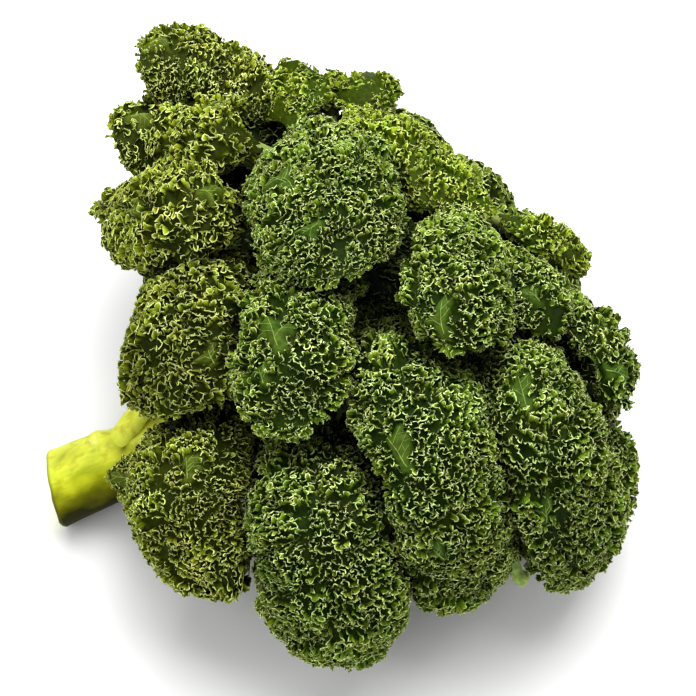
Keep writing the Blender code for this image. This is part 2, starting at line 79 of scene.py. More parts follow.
# name, root along the stalk 0..1, spine of the blade from its neck to its tip,
# greatest width, half angle of the arch, thickness, lean of its face towards
# the upper front of the head; all in mm and degrees
LEAVES = (
    ("leaf_a", 0.8, ((-43, 102, 135), (-69, 108, 148), (-104, 118, 160), (-145, 116, 166)), 74, 52, 19, 0.55, 0.35),
    ("leaf_b", 0.7, ((-57, 41.1, 166.7), (-84, 35.1, 184.7), (-123, 70.1, 146.7), (-161, 68.1, 149.7)), 76, 54, 19, 0.45, 0.35),
    ("leaf_c_back", 0.5, ((-108, 42, 122), (-133, 34, 128), (-152, 28, 128), (-168, 24, 124)), 62, 50, 14, 0.2, 0.22),
    ("leaf_c", 0.6, ((-57, -26, 182), (-84, -37, 203), (-116, -30, 194), (-156, 12, 134)), 78, 55, 20, 0.35, 0.35),
    ("leaf_d", 0.5, ((-74, -44, 168), (-92, -80, 187), (-106, -118, 186), (-106, -170, 161)), 95, 60, 20, 0.3, 0.45),
    ("leaf_e", 0.38, ((-84, -134.3, 136), (-97, -159.3, 142), (-109, -195.3, 141), (-107, -219.3, 117), (-99, -230.3, 86), (-111, -218.3, 75)), 94, 60, 20, 0.3, 0.8),
    ("leaf_e_left", 0.46, ((-121, -129, 71), (-130, -139, 70), (-141, -148, 69), (-152, -155, 69)), 49, 45, 12, 0.3, 0.3),
    ("leaf_f", 0.9, ((-28, 48.6, 180.5), (-19, -27.4, 233.5), (-11, -79.4, 244.5), (1, -120.4, 232.5)), 101, 60, 20, 0, 0.3),
    ("leaf_g", 0.66, ((-15, -48, 189), (-29, -102, 215), (-36, -153, 217), (-36, -203, 191)), 76, 60, 20, 0, 0.45),
    ("leaf_h", 0.46, ((-39, -128.2, 146.8), (-33, -168.2, 149.8), (-27, -206.2, 163.8), (-20, -247.2, 159.8), (-13, -276.2, 120.8), (-12, -273.2, 77.8), (-10, -255.2, 27.8)), 92, 60, 20, 0, 0.6),
    ("leaf_h_right", 0.44, ((30, -205, 136), (29, -229, 142), (27, -250, 126), (26, -240, 95), (28, -236, 50)), 32, 45, 13, 0, 0.3),
    ("leaf_i", 0.72, ((13, -86, 173), (22, -127, 194), (35, -164, 207), (51, -206, 202), (62, -238, 176), (72, -244, 122), (77, -232, 74), (78, -212, 32)), 83, 60, 20, 0, 0.5),
    ("leaf_j", 0.92, ((65, -39.3, 204.3), (67, -95.3, 231.3), (68, -132.3, 232.3), (67, -162.3, 217.3)), 75, 58, 20, 0, 0.5),
    ("leaf_j_under", 0.8, ((66, -114.2, 160.8), (74, -145.2, 177.8), (80, -160.2, 176.8), (86, -170.2, 168.8)), 52, 50, 13, 0, 0.4),
    ("leaf_k", 0.84, ((102, -83, 154), (110, -127, 178), (129, -186, 177), (145, -208, 131), (155, -208, 87), (153, -196, 36)), 88, 60, 20, 0, 0.5),
    ("leaf_k_right", 0.76, ((161, -99, 83), (172, -125, 78), (177, -159, 70), (166, -178, 42)), 57, 50, 14, 0.1, 0.3),
    ("leaf_l", 0.94, ((91, -46.1, 177.3), (108, -76.1, 190.3), (119, -98.1, 187.3), (122, -121.1, 174.3)), 64, 50, 16, 0, 0.3),
    ("leaf_l_right", 0.9, ((141, -53.8, 132.6), (156, -94.8, 159.6), (169, -117.8, 153.6), (171, -135.8, 127.6)), 60, 52, 16, 0, 0.3),
    ("leaf_m", 0.98, ((93, -14, 167), (112, -30, 176), (132, -34, 167), (156, -27, 135)), 32, 45, 13, 0, 0.3),
    ("leaf_n", 0.97, ((4, 70, 170), (27, 18, 204), (56, -18.1, 211.3), (90, -45.1, 202.3)), 60, 52, 16, 0.1, 0.45),
    ("leaf_o", 0.86, ((-36, 72.9, 148.3), (-38, 93.9, 151.3), (-37, 117.9, 149.3), (-32, 130.9, 156.3)), 60, 45, 13, 0.3, 0.3),
    ("leaf_o_right", 0.9, ((-12, 83.9, 143.3), (-11, 96.9, 148.3), (-10, 116.9, 142.3), (-11, 127.9, 149.3)), 32, 40, 11, 0.3, 0.4),
    ("leaf_p", 0.94, ((9, 70, 152), (10, 80, 161), (12, 98, 165), (14, 118.4, 153)), 44, 45, 12, 0.3, 0.3),
    ("leaf_inner_1", 0.78, ((19, -31, 156), (17, -73, 175), (17, -97, 176), (16, -118, 170)), 42, 40, 12, 0, 0.4),
    ("leaf_inner_2", 0.6, ((9, -131, 140), (13, -169, 145), (17, -195, 140), (19, -214, 127)), 43, 40, 12, 0, 0.4),
    ("leaf_inner_3", 0.44, ((-64, -91, 125), (-63, -72, 147), (-64, -38, 148), (-65, 12, 132), (-66, 48, 124)), 50, 40, 12, 0, 0.4),
    ("leaf_inner_4", 0.46, ((-57, -107, 119), (-56, -145, 126), (-54, -177, 124), (-56, -195, 107)), 40, 40, 12, 0, 0.4),
    ("leaf_inner_5", 0.74, ((95, -125, 100), (98, -161, 106), (102, -179, 86), (108, -184, 70)), 40, 40, 12, 0, 0.4),
    ("leaf_back_1", 0.82, ((-30, 74, 136), (-48, 104, 128), (-60, 130, 92), (-62, 140, 52), (-56, 138, 22)), 86, 55, 17, 0, 0.4),
    ("leaf_back_2", 0.95, ((16, 64, 146), (28, 92, 136), (34, 118, 98), (34, 130, 56), (30, 130, 22)), 86, 55, 17, 0, 0.4),
    ("leaf_back_3", 0.96, ((60, 22, 150), (82, 42, 132), (98, 64, 96), (102, 80, 54), (98, 84, 22)), 82, 55, 17, 0, 0.4),
    ("leaf_back_4", 0.93, ((94, -10, 136), (124, -4, 120), (144, 10, 84), (150, 22, 46), (146, 26, 20)), 72, 55, 17, 0, 0.4),
    ("leaf_back_5", 0.85, ((122, -46, 92), (152, -50, 90), (168, -56, 60), (166, -58, 22)), 62, 52, 16, 0, 0.4),
    ("leaf_left_1", 0.66, ((-70, 58, 112), (-100, 82, 106), (-122, 92, 72), (-124, 92, 40), (-120, 88, 18)), 80, 55, 16, 0, 0.4),
    ("leaf_left_2", 0.45, ((-92, 14, 70), (-118, 20, 76), (-134, 24, 48), (-132, 24, 18)), 66, 52, 15, 0, 0.4),
    ("leaf_left_3", 0.32, ((-98, -42, 76), (-118, -44, 80), (-132, -46, 54), (-130, -46, 20)), 62, 52, 14, 0, 0.4),
    ("leaf_low_1", 0.66, ((-2, -66, 34), (-10, -100, 9), (-18, -160, 6.5), (-22, -220, 6.5)), 100, 30, 16, 0, 0.4),
    ("leaf_low_2", 0.7, ((48, -60, 32), (74, -92, 9), (100, -134, 6.5), (118, -172, 6.5)), 92, 30, 16, 0, 0.4),
    ("leaf_low_3", 0.9, ((78, -38, 34), (104, -26, 9), (130, -14, 6.5), (154, -2, 6.5)), 84, 30, 16, 0, 0.4),
    ("leaf_low_4", 0.62, ((-24, 2, 34), (-48, 24, 9), (-72, 44, 6.5), (-92, 62, 6.5)), 84, 30, 16, 0, 0.4),
    ("leaf_low_5", 0.88, ((22, 8, 34), (28, 40, 9), (32, 74, 6.5), (34, 106, 6.5)), 88, 30, 16, 0, 0.4),
    ("leaf_mid_1", 0.93, ((6, 36, 142), (10, 68, 155), (12, 93, 140), (14, 112, 110)), 58, 52, 15, 0, 0.4),
    ("leaf_mid_2", 0.97, ((36, -14, 168), (58, 8, 171), (72, 24, 156), (80, 34, 128)), 66, 52, 14, 0, 0.85),
    ("leaf_mid_3", 0.95, ((84, -30, 148), (106, -12, 150), (126, -6, 130), (138, 4, 100)), 60, 52, 14, 0, 0.4),
    ("leaf_mid_4", 0.90, ((106, -46, 126), (132, -44, 128), (149, -44, 110), (160, -46, 78)), 54, 52, 13, 0, 0.4),
    ("leaf_mid_5", 0.68, ((-40, 56, 122), (-68, 80, 132), (-94, 96, 120), (-106, 104, 92)), 70, 52, 15, 0, 0.4),
    ("leaf_mid_6", 0.52, ((-68, 8, 112), (-98, 16, 124), (-126, 28, 108), (-138, 34, 74)), 72, 52, 15, 0, 0.4),
    ("leaf_mid_7", 0.42, ((-76, -36, 106), (-104, -38, 122), (-130, -40, 106), (-141, -44, 72)), 70, 52, 14, 0, 0.4),
    ("leaf_mid_8", 0.82, ((112, -78, 104), (144, -86, 112), (166, -90, 92), (174, -92, 54)), 60, 52, 14, 0, 0.4),
    ("leaf_mid_9", 0.36, ((-92, -66, 84), (-112, -72, 92), (-132, -76, 74), (-138, -78, 44)), 50, 50, 12, 0, 0.4),
)


# ------------------------------------------------------------------ geometry
def vec(*p):
    return np.array(p if len(p) > 1 else p[0], dtype=float)


def unit(v):
    return v / np.linalg.norm(v)


CENTRE, RADII = vec(HEAD_CENTRE), vec(HEAD_RADII)
AXIS = unit(vec(STALK_DIR))
FRONT = unit(vec(UPPER_FRONT))


def outward(p, lean):
    """Direction that faces out of the head at a point."""
    return unit(unit((p - CENTRE) / RADII ** 2) * (1.0 - lean) + FRONT * lean)


def stalk_radius(s):
    return STALK_RADIUS_CUT + (STALK_RADIUS_TOP - STALK_RADIUS_CUT) * s ** 1.2


def stalk_point(s):
    bend = vec(0.0, 0.0, 10.0) * s * s
    return vec(STALK_CUT) + AXIS * STALK_LENGTH * s + bend


def smooth(x):
    x = min(1.0, max(0.0, x))
    return x * x * (3.0 - 2.0 * x)


def catmull(points, per):
    """Smooth curve through the points, per steps in each span."""
    pts = [2 * points[0] - points[1]] + list(points) + [2 * points[-1] - points[-2]]
    out = []
    for a, b, c, d in zip(pts, pts[1:], pts[2:], pts[3:]):
        ta = 0.0
        tb = ta + math.sqrt(np.linalg.norm(b - a))
        tc = tb + math.sqrt(np.linalg.norm(c - b))
        td = tc + math.sqrt(np.linalg.norm(d - c))
        for i in range(per):
            t = tb + (tc - tb) * i / per
            p1 = a + (b - a) * (t - ta) / (tb - ta)
            p2 = b + (c - b) * (t - tb) / (tc - tb)
            p3 = c + (d - c) * (t - tc) / (td - tc)
            q1 = p1 + (p2 - p1) * (t - ta) / (tc - ta)
            q2 = p2 + (p3 - p2) * (t - tb) / (td - tb)
            out.append(q1 + (q2 - q1) * (t - tb) / (tc - tb))
    out.append(vec(points[-1]))
    return np.array(out)


def hermite(p0, m0, p1, m1, steps):
    out = []
    for i in range(steps):
        t = i / steps
        out.append(
            (2 * t ** 3 - 3 * t ** 2 + 1) * p0 + (t ** 3 - 2 * t ** 2 + t) * m0
            + (3 * t ** 2 - 2 * t ** 3) * p1 + (t ** 3 - t ** 2) * m1
        )
    return out


def resample(line, count):
    """The curve at equal steps, and its length."""
    seg = np.linalg.norm(np.diff(line, axis=0), axis=1)
    run = np.concatenate([[0.0], np.cumsum(seg)])
    at = np.linspace(0.0, run[-1], count)
    return np.stack([np.interp(at, run, line[:, k]) for k in range(3)], 1), run[-1]


def leaf_spine(root, spine):
    """Petiole and blade centre lines of one leaf."""
    spine = [vec(p) for p in spine]
    blade = catmull(spine, 12)
    start, heading = blade[0], unit(blade[1] - blade[0])
    base = stalk_point(root)
    away = start - base
    away -= AXIS * (away @ AXIS)
    away = unit(away)
    begin = base + away * (stalk_radius(root) * 0.92)
    reach = np.linalg.norm(start - begin)
    petiole = hermite(begin, unit(away + 0.55 * AXIS) * reach * 0.75, start, heading * reach * 0.75, 24)
    return np.array(petiole + [start]), blade


def carried(points, tangent, i, normal, step):
    """Face normals carried along a line without twist, from point i to one end."""
    out = {i: normal}
    end = len(points) if step > 0 else -1
    for k in range(i, end - step, step):
        j = k + step
        if not 0 <= j < len(points):
            break
        chord = points[j] - points[k]
        c = chord @ chord
        n = out[k] - chord * (2.0 / c) * (chord @ out[k])
        t = tangent[k] - chord * (2.0 / c) * (chord @ tangent[k])
        turn = tangent[j] - t
        c = turn @ turn
        if c > 1e-12:
            n = n - turn * (2.0 / c) * (turn @ n)
        out[j] = unit(n - tangent[j] * (n @ tangent[j]))
    return out


def frames(points, face_at, lean):
    """Tangents and face normals of a line whose face looks out of the head at one point."""
    tangent = np.gradient(points, axis=0)
    tangent /= np.linalg.norm(tangent, axis=1)[:, None]
    n = outward(points[face_at], lean)
    n = unit(n - tangent[face_at] * (n @ tangent[face_at]))
    found = carried(points, tangent, face_at, n, 1)
    found.update(carried(points, tangent, face_at, n, -1))
    return tangent, np.array([found[i] for i in range(len(points))])


def width_profile(t, neck):
    """Half width of the blade along its length, 0..1 of the greatest."""
    grow = neck + (1.0 - neck) * smooth(t / 0.36)
    tip = math.sqrt(max(0.0, 1.0 - max(0.0, (t - 0.62) / 0.40) ** 2.4))
    return grow * tip



# ------------------------------------------------------------ patterns, noise
SHIFT = np.array([ORIGIN[0], ORIGIN[1], 0.0])


def lattice(ix, iy, seed):
    """Repeatable number 0..1 for each cell of a grid."""
    n = (ix.astype(np.int64) * 374761393 + iy.astype(np.int64) * 668265263 + int(seed) * 974634777) & 0x7FFFFFFF
    n = ((n ^ (n >> 13)) * 1274126177) & 0x7FFFFFFF
    n = ((n ^ (n >> 16)) * 668265263) & 0x7FFFFFFF
    return ((n ^ (n >> 15)) & 0xFFFFF) / float(0xFFFFF)


def noise2(x, y, size, seed):
    """Smooth noise -1..1 over a plane."""
    x, y = np.asarray(x) / size, np.asarray(y) / size
    ix, iy = np.floor(x), np.floor(y)
    fx, fy = x - ix, y - iy
    fx, fy = fx * fx * (3 - 2 * fx), fy * fy * (3 - 2 * fy)
    a, b = lattice(ix, iy, seed), lattice(ix + 1, iy, seed)
    c, d = lattice(ix, iy + 1, seed), lattice(ix + 1, iy + 1, seed)
    return ((a * (1 - fx) + b * fx) * (1 - fy) + (c * (1 - fx) + d * fx) * fy) * 2 - 1


def smoothstep(x):
    x = np.clip(x, 0.0, 1.0)
    return x * x * (3.0 - 2.0 * x)


def ripples(nx, ny, cell, size, steps, seed):
    """Field whose zero line wanders evenly over a plane, a fold every half size."""
    rng = np.random.RandomState(seed)
    u = rng.randn(ny, nx) * 0.3
    kx, ky = np.fft.rfftfreq(nx, cell) * size, np.fft.fftfreq(ny, cell) * size
    lin = 0.35 - (1.0 - (kx[None, :] ** 2 + ky[:, None] ** 2)) ** 2
    den = 1.0 / (1.0 - 0.6 * np.clip(lin, -50.0, 0.0))
    for _ in range(steps):
        fu, fn = np.fft.rfft2(u), np.fft.rfft2(-u ** 3)
        u = np.fft.irfft2((fu * (1.0 + 0.6 * np.clip(lin, 0.0, None)) + 0.6 * fn) * den, s=(ny, nx))
    return u


def zero_lines(v):
    """Zero contours of a grid as chains of points in cell units."""
    s = v > 0
    across, down = s[:, :-1] != s[:, 1:], s[:-1, :] != s[1:, :]
    hid, vid = -np.ones(across.shape, int), -np.ones(down.shape, int)
    count = across.sum()
    hid[across] = np.arange(count)
    vid[down] = count + np.arange(down.sum())
    j, i = np.nonzero(across)
    t = v[j, i] / (v[j, i] - v[j, i + 1])
    ph = np.stack([i + t, j], 1)
    j, i = np.nonzero(down)
    t = v[j, i] / (v[j, i] - v[j + 1, i])
    pts = np.concatenate([ph, np.stack([i, j + t], 1)])
    edges = np.stack([hid[:-1, :], vid[:, 1:], hid[1:, :], vid[:, :-1]], -1)
    used = (edges >= 0).sum(-1)
    segs = [np.sort(edges[used == 2], 1)[:, 2:]]
    saddle = used == 4
    if saddle.any():
        e = edges[saddle]
        mid = (v[:-1, :-1] + v[1:, :-1] + v[:-1, 1:] + v[1:, 1:])[saddle] > 0
        same = (mid == s[:-1, :-1][saddle])[:, None]
        segs.append(np.where(same, e[:, [0, 1]], e[:, [0, 3]]))
        segs.append(np.where(same, e[:, [2, 3]], e[:, [1, 2]]))
    segs = np.concatenate(segs)
    near = [[] for _ in range(len(pts))]
    for a, b in segs.tolist():
        near[a].append(b)
        near[b].append(a)
    seen, chains = [False] * len(pts), []
    starts = [k for k in range(len(pts)) if len(near[k]) == 1] + list(range(len(pts)))
    for k in starts:
        if seen[k] or not near[k]:
            continue
        chain, at_end = [k], False
        seen[k] = True
        while not at_end:
            at_end = True
            for m in near[chain[-1]]:
                if not seen[m]:
                    seen[m] = True
                    chain.append(m)
                    at_end = False
                    break
        chains.append(pts[chain])
    return chains


# ------------------------------------------------------------------ one blade
class Blade:
    """Mid surface of one leaf, laid out flat as X across and Y along, in mm."""

    def __init__(self, row, seed):
        (self.name, self.root, spine, self.width, arch, self.thick, self.lean, self.neck) = row
        self.seed = seed
        petiole, blade = leaf_spine(self.root, spine)
        stem, self.stem_length = resample(petiole, 25)
        line, self.length = resample(blade, 41)
        whole = np.concatenate([stem[:-1], line])
        tangent, normal = frames(whole, 24 + 22, self.lean)
        side = np.cross(tangent, normal)
        side /= np.linalg.norm(side, axis=1)[:, None]
        self.whole, self.tangent, self.normal, self.side = whole - SHIFT, tangent, normal, side
        self.stem_y = np.concatenate([
            -self.stem_length * (1 - np.arange(24) / 24.0), np.linspace(0.0, self.length, 41)])
        self.tau = self.thick * 0.5
        arch = math.radians(arch)
        self.arch = arch
        self.rm = max(self.width * 0.5 / math.sin(arch) - self.tau, 6.0)
        # outline
        ys = np.linspace(0.0, self.length - self.tau * 0.8, 90)
        t = ys / self.length
        grow = self.neck + (1.0 - self.neck) * smoothstep(t / 0.36)
        tip = np.sqrt(np.maximum(0.0, 1.0 - np.maximum(0.0, (t - 0.62) / 0.40) ** 2.4))
        half = self.width * 0.5 * grow * tip
        reach = min(16.0, self.width * 0.25)
        cap = np.sqrt(np.clip(1.0 - np.maximum(0.0, (ys - ys[-1] + reach) / reach) ** 2, 0.0, 1.0))
        self.edges = []
        for hand in (-1, 1):
            h = half * (1.0 + 0.07 * noise2(ys, ys * 0 + hand, 19.0, seed * 7 + 3)) + 2.2 * noise2(ys, ys * 0 + hand, 9.0, seed * 7 + 4)
            x = self.rm * np.arcsin(np.clip((h - self.tau) / self.rm, 0.03, 0.95))
            self.edges.append(x * np.maximum(cap, 0.02))
        self.ys = ys
        left = np.stack([-self.edges[0], ys], 1)
        right = np.stack([self.edges[1], ys], 1)[::-1]
        self.outline = np.concatenate([left, right])

    def inside(self, p):
        lo = -np.interp(p[:, 0] * 0 + p[:, 1], self.ys, self.edges[0])
        hi = np.interp(p[:, 1], self.ys, self.edges[1])
        return (p[:, 0] > lo) & (p[:, 0] < hi) & (p[:, 1] > 0) & (p[:, 1] < self.ys[-1])

    def nearest(self, p):
        """Nearest point of the outline to each point."""
        a = self.outline
        b = np.roll(a, -1, 0)
        d = b - a
        dd = (d * d).sum(1) + 1e-9
        best = np.empty_like(p)
        for k in range(0, len(p), 4000):
            q = p[k:k + 4000, None, :] - a[None]
            t = np.clip((q * d[None]).sum(2) / dd[None], 0, 1)
            c = t[:, :, None] * d[None] - q
            m = (c * c).sum(2).argmin(1)
            i = np.arange(len(m))
            best[k:k + 4000] = a[m] + d[m] * t[i, m][:, None]
        return best

    def tau_at(self, y):
        u = np.clip(y / self.length, 0, 1)
        return self.tau * (0.62 + 0.38 * smoothstep(u / 0.35)) * (1.0 - 0.40 * smoothstep((u - 0.8) / 0.2))

    def frame_at(self, y):
        pick = [np.stack([np.interp(y, self.stem_y, a[:, k]) for k in range(3)], 1)
                for a in (self.whole, self.tangent, self.normal, self.side)]
        over = np.maximum(0.0, y - self.length)[:, None]
        point, tangent, normal, side = pick
        return point + tangent * over, tangent, normal, side

    def mid(self, c):
        """Point, across, along and face direction of the mid surface."""
        point, tangent, normal, side = self.frame_at(c[:, 1])
        a = (c[:, 0] / self.rm)[:, None]
        sa, ca = np.sin(a), np.cos(a)
        pos = point + side * self.rm * sa + normal * self.rm * (ca - 1.0)
        return pos, side * ca - normal * sa, tangent, normal * ca + side * sa

    def place(self, p, h):
        """Points in space for points of the layout at height h from the frill's crest."""
        c = p.copy()
        delta = np.zeros(len(p))
        e = np.zeros_like(p)
        out = np.nonzero(~self.inside(p))[0]
        if len(out):
            near = self.nearest(p[out])
            gap = p[out] - near
            dist = np.linalg.norm(gap, axis=1)
            c[out] = near
            delta[out] = dist
            e[out] = gap / np.maximum(dist, 1e-6)[:, None]
        pos, across, along, face = self.mid(c)
        tau = self.tau_at(c[:, 1])
        alpha = (delta / np.maximum(tau, 3.0))[:, None]
        away = across * e[:, :1] + along * e[:, 1:]
        radius = np.maximum(tau + h, 0.6)[:, None]
        return pos + radius * (face * np.cos(alpha) + away * np.sin(alpha)), alpha[:, 0]


def cells(x, y, size, seed):
    """Distance from the nearest cell border, from the cell's centre, and the cell's own number 0..1."""
    best = np.full(len(x), 1e9)
    second = np.full(len(x), 1e9)
    own = np.zeros(len(x))
    gx, gy = np.floor(x / size), np.floor(y / size)
    for i in (-1, 0, 1):
        for j in (-1, 0, 1):
            cx = (gx + i + 0.12 + 0.76 * lattice(gx + i, gy + j, seed)) * size
            cy = (gy + j + 0.12 + 0.76 * lattice(gx + i, gy + j, seed + 11)) * size
            d = np.hypot(x - cx, y - cy)
            number = lattice(gx + i, gy + j, seed + 23)
            closer = d < best
            second = np.where(closer, best, np.minimum(second, d))
            own = np.where(closer, number, own)
            best = np.where(closer, d, best)
    return second - best, best, own


def relief(blade, p):
    """Height of the lumps, creases and pits over a blade, in mm, and where the pits are."""
    x, y = p[:, 0], p[:, 1]
    seed = blade.seed + 40
    wx = x + 3.0 * noise2(x, y, 13.0, seed + 5)
    wy = y + 3.0 * noise2(x, y, 13.0, seed + 6)
    edge, middle, own = cells(wx, wy, 26.0, seed)
    crease = 1.0 - smoothstep(edge / 6.0)
    deep = 0.25 + 0.75 * smoothstep((noise2(x, y, 30.0, seed + 31) + 0.45) / 0.9)
    high = (own - 0.60) * 5.0 * (1 - crease) - crease * deep * 7.5 - (middle / 26.0) ** 2 * 3.0
    edge, middle, own = cells(wx, wy, 12.0, seed + 7)
    crease = 1.0 - smoothstep(edge / 3.4)
    high += (own - 0.55) * 2.2 * (1 - crease) - crease * 2.0
    pit = smoothstep((noise2(x, y, 7.5, seed + 33) - 0.60) / 0.14)
    return high, pit


# ----------------------------------------------------------------- the frills
def resampled(chain, step):
    seg = np.linalg.norm(np.diff(chain, axis=0), axis=1)
    run = np.concatenate([[0.0], np.cumsum(seg)])
    count = int(run[-1] / step) // 2 * 2 + 1
    at_ = np.linspace(0.0, run[-1], max(count, 3))
    out = np.stack([np.interp(at_, run, chain[:, k]) for k in (0, 1)], 1)
    for _ in range(2):
        out[1:-1] = 0.25 * out[:-2] + 0.5 * out[1:-1] + 0.25 * out[2:]
    return out, at_


def perp(line):
    t = np.gradient(line, axis=0)
    t /= np.maximum(np.linalg.norm(t, axis=1), 1e-6)[:, None]
    return t, np.stack([-t[:, 1], t[:, 0]], 1)


STYLES = {
    # spacing, wave 1 length and height, wave 2 length and height, overhang, step
    "tight": dict(space=3.1, wave1=4.5, high1=0.95, wave2=2.1, high2=0.70, over=0.40, step=0.41, lip=0.20),
    "loose": dict(space=3.7, wave1=6.4, high1=1.45, wave2=2.9, high2=1.05, over=0.55, step=0.45, lip=0.24),
    "plain": dict(space=5.1, wave1=7.4, high1=1.6, wave2=3.8, high2=1.2, over=0.6, step=0.76, lip=0.28),
}
WALL = 4.3                            # height of the frills over the leaf under them, mm

# directions from which a part of a leaf may be seen
LOOKS = [
    (math.cos(a) * math.cos(e), math.sin(a) * math.cos(e), math.sin(e))
    for e, n in ((math.radians(-4), 10), (math.radians(18), 12), (math.radians(40), 10), (math.radians(62), 7), (math.radians(84), 3))
    for a in [2 * math.pi * (k + 0.5 * (n % 2)) / n for k in range(n)]
]


UPPER_LOOKS = [
    (math.cos(a) * math.cos(e), math.sin(a) * math.cos(e), math.sin(e))
    for a, e in ((math.radians(-90), math.radians(55)), (math.radians(-110), math.radians(50)),
                 (math.radians(-70), math.radians(50)), (math.radians(-100), math.radians(66)), (math.radians(-84), math.radians(44)))
]


def in_sight(points, facing, others):
    """How openly each point is seen past the other leaves: 0 hidden, 1 from round about, 2 from the upper front."""
    seen = np.zeros(len(points), int)
    start = (points + facing * 2.0) * MM
    for k, (p, f) in enumerate(zip(start.tolist(), facing.tolist())):
        for level, looks in ((2, UPPER_LOOKS), (1, LOOKS)):
            for d in looks:
                if d[0] * f[0] + d[1] * f[1] + d[2] * f[2] < -0.12:
                    continue
                if others.ray_cast(Vector(p), Vector(d))[0] is None:
                    seen[k] = level
                    break
            if seen[k]:
                break
    return seen


def openness(blade, others):
    """Coarse map over a blade of how much of the room is seen past the other leaves."""
    step = 8.0
    xs = np.arange(-blade.edges[0].max() - 12.0, blade.edges[1].max() + 12.0 + step, step)
    ys = np.arange(-8.0, blade.ys[-1] + 12.0 + step, step)
    p = np.stack(np.meshgrid(xs, ys), -1).reshape(-1, 2)
    zero = np.zeros(len(p))
    start, _ = blade.place(p, zero)
    facing = blade.place(p, zero + 3.0)[0] - start
    facing /= np.maximum(np.linalg.norm(facing, axis=1), 1e-6)[:, None]
    looks = np.array(LOOKS)
    share = []
    for q, f in zip((start + facing * 1.5) * MM, facing):
        weight = looks @ f
        use = weight > 0.08
        free = sum(w for w, d in zip(weight[use].tolist(), looks[use].tolist())
                   if others.ray_cast(Vector(q.tolist()), Vector(d))[0] is None)
        share.append(free / max(weight[use].sum(), 1e-6))
    grid = np.array(share).reshape(len(ys), len(xs))
    soft = np.pad(grid, 1, "edge")
    grid = 0.5 * grid + 0.125 * (soft[:-2, 1:-1] + soft[2:, 1:-1] + soft[1:-1, :-2] + soft[1:-1, 2:])
    return xs, ys, grid


# leaves a little paler or darker than their neighbours
LIGHTER = {"leaf_a": 1.12, "leaf_b": 1.09, "leaf_c": 1.05, "leaf_d": 0.83, "leaf_e": 1.06, "leaf_g": 1.12, "leaf_i": 1.06,
           "leaf_j": 1.05, "leaf_l": 1.06, "leaf_n": 1.09, "leaf_o": 1.05}


def shade(blade, p):
    """Tone of a blade's colour: painted shade, darker where it lies deep between other leaves."""
    xs, ys, grid = blade.open
    fx = np.clip((p[:, 0] - xs[0]) / (xs[1] - xs[0]), 0, len(xs) - 1.001)
    fy = np.clip((p[:, 1] - ys[0]) / (ys[1] - ys[0]), 0, len(ys) - 1.001)
    i, j = fx.astype(int), fy.astype(int)
    fx, fy = fx - i, fy - j
    o = (grid[j, i] * (1 - fx) + grid[j, i + 1] * fx) * (1 - fy) + (grid[j + 1, i] * (1 - fx) + grid[j + 1, i + 1] * fx) * fy
    return (0.16 + 0.84 * smoothstep((o - 0.04) / 0.66)) * LIGHTER.get(blade.name, 1.0)


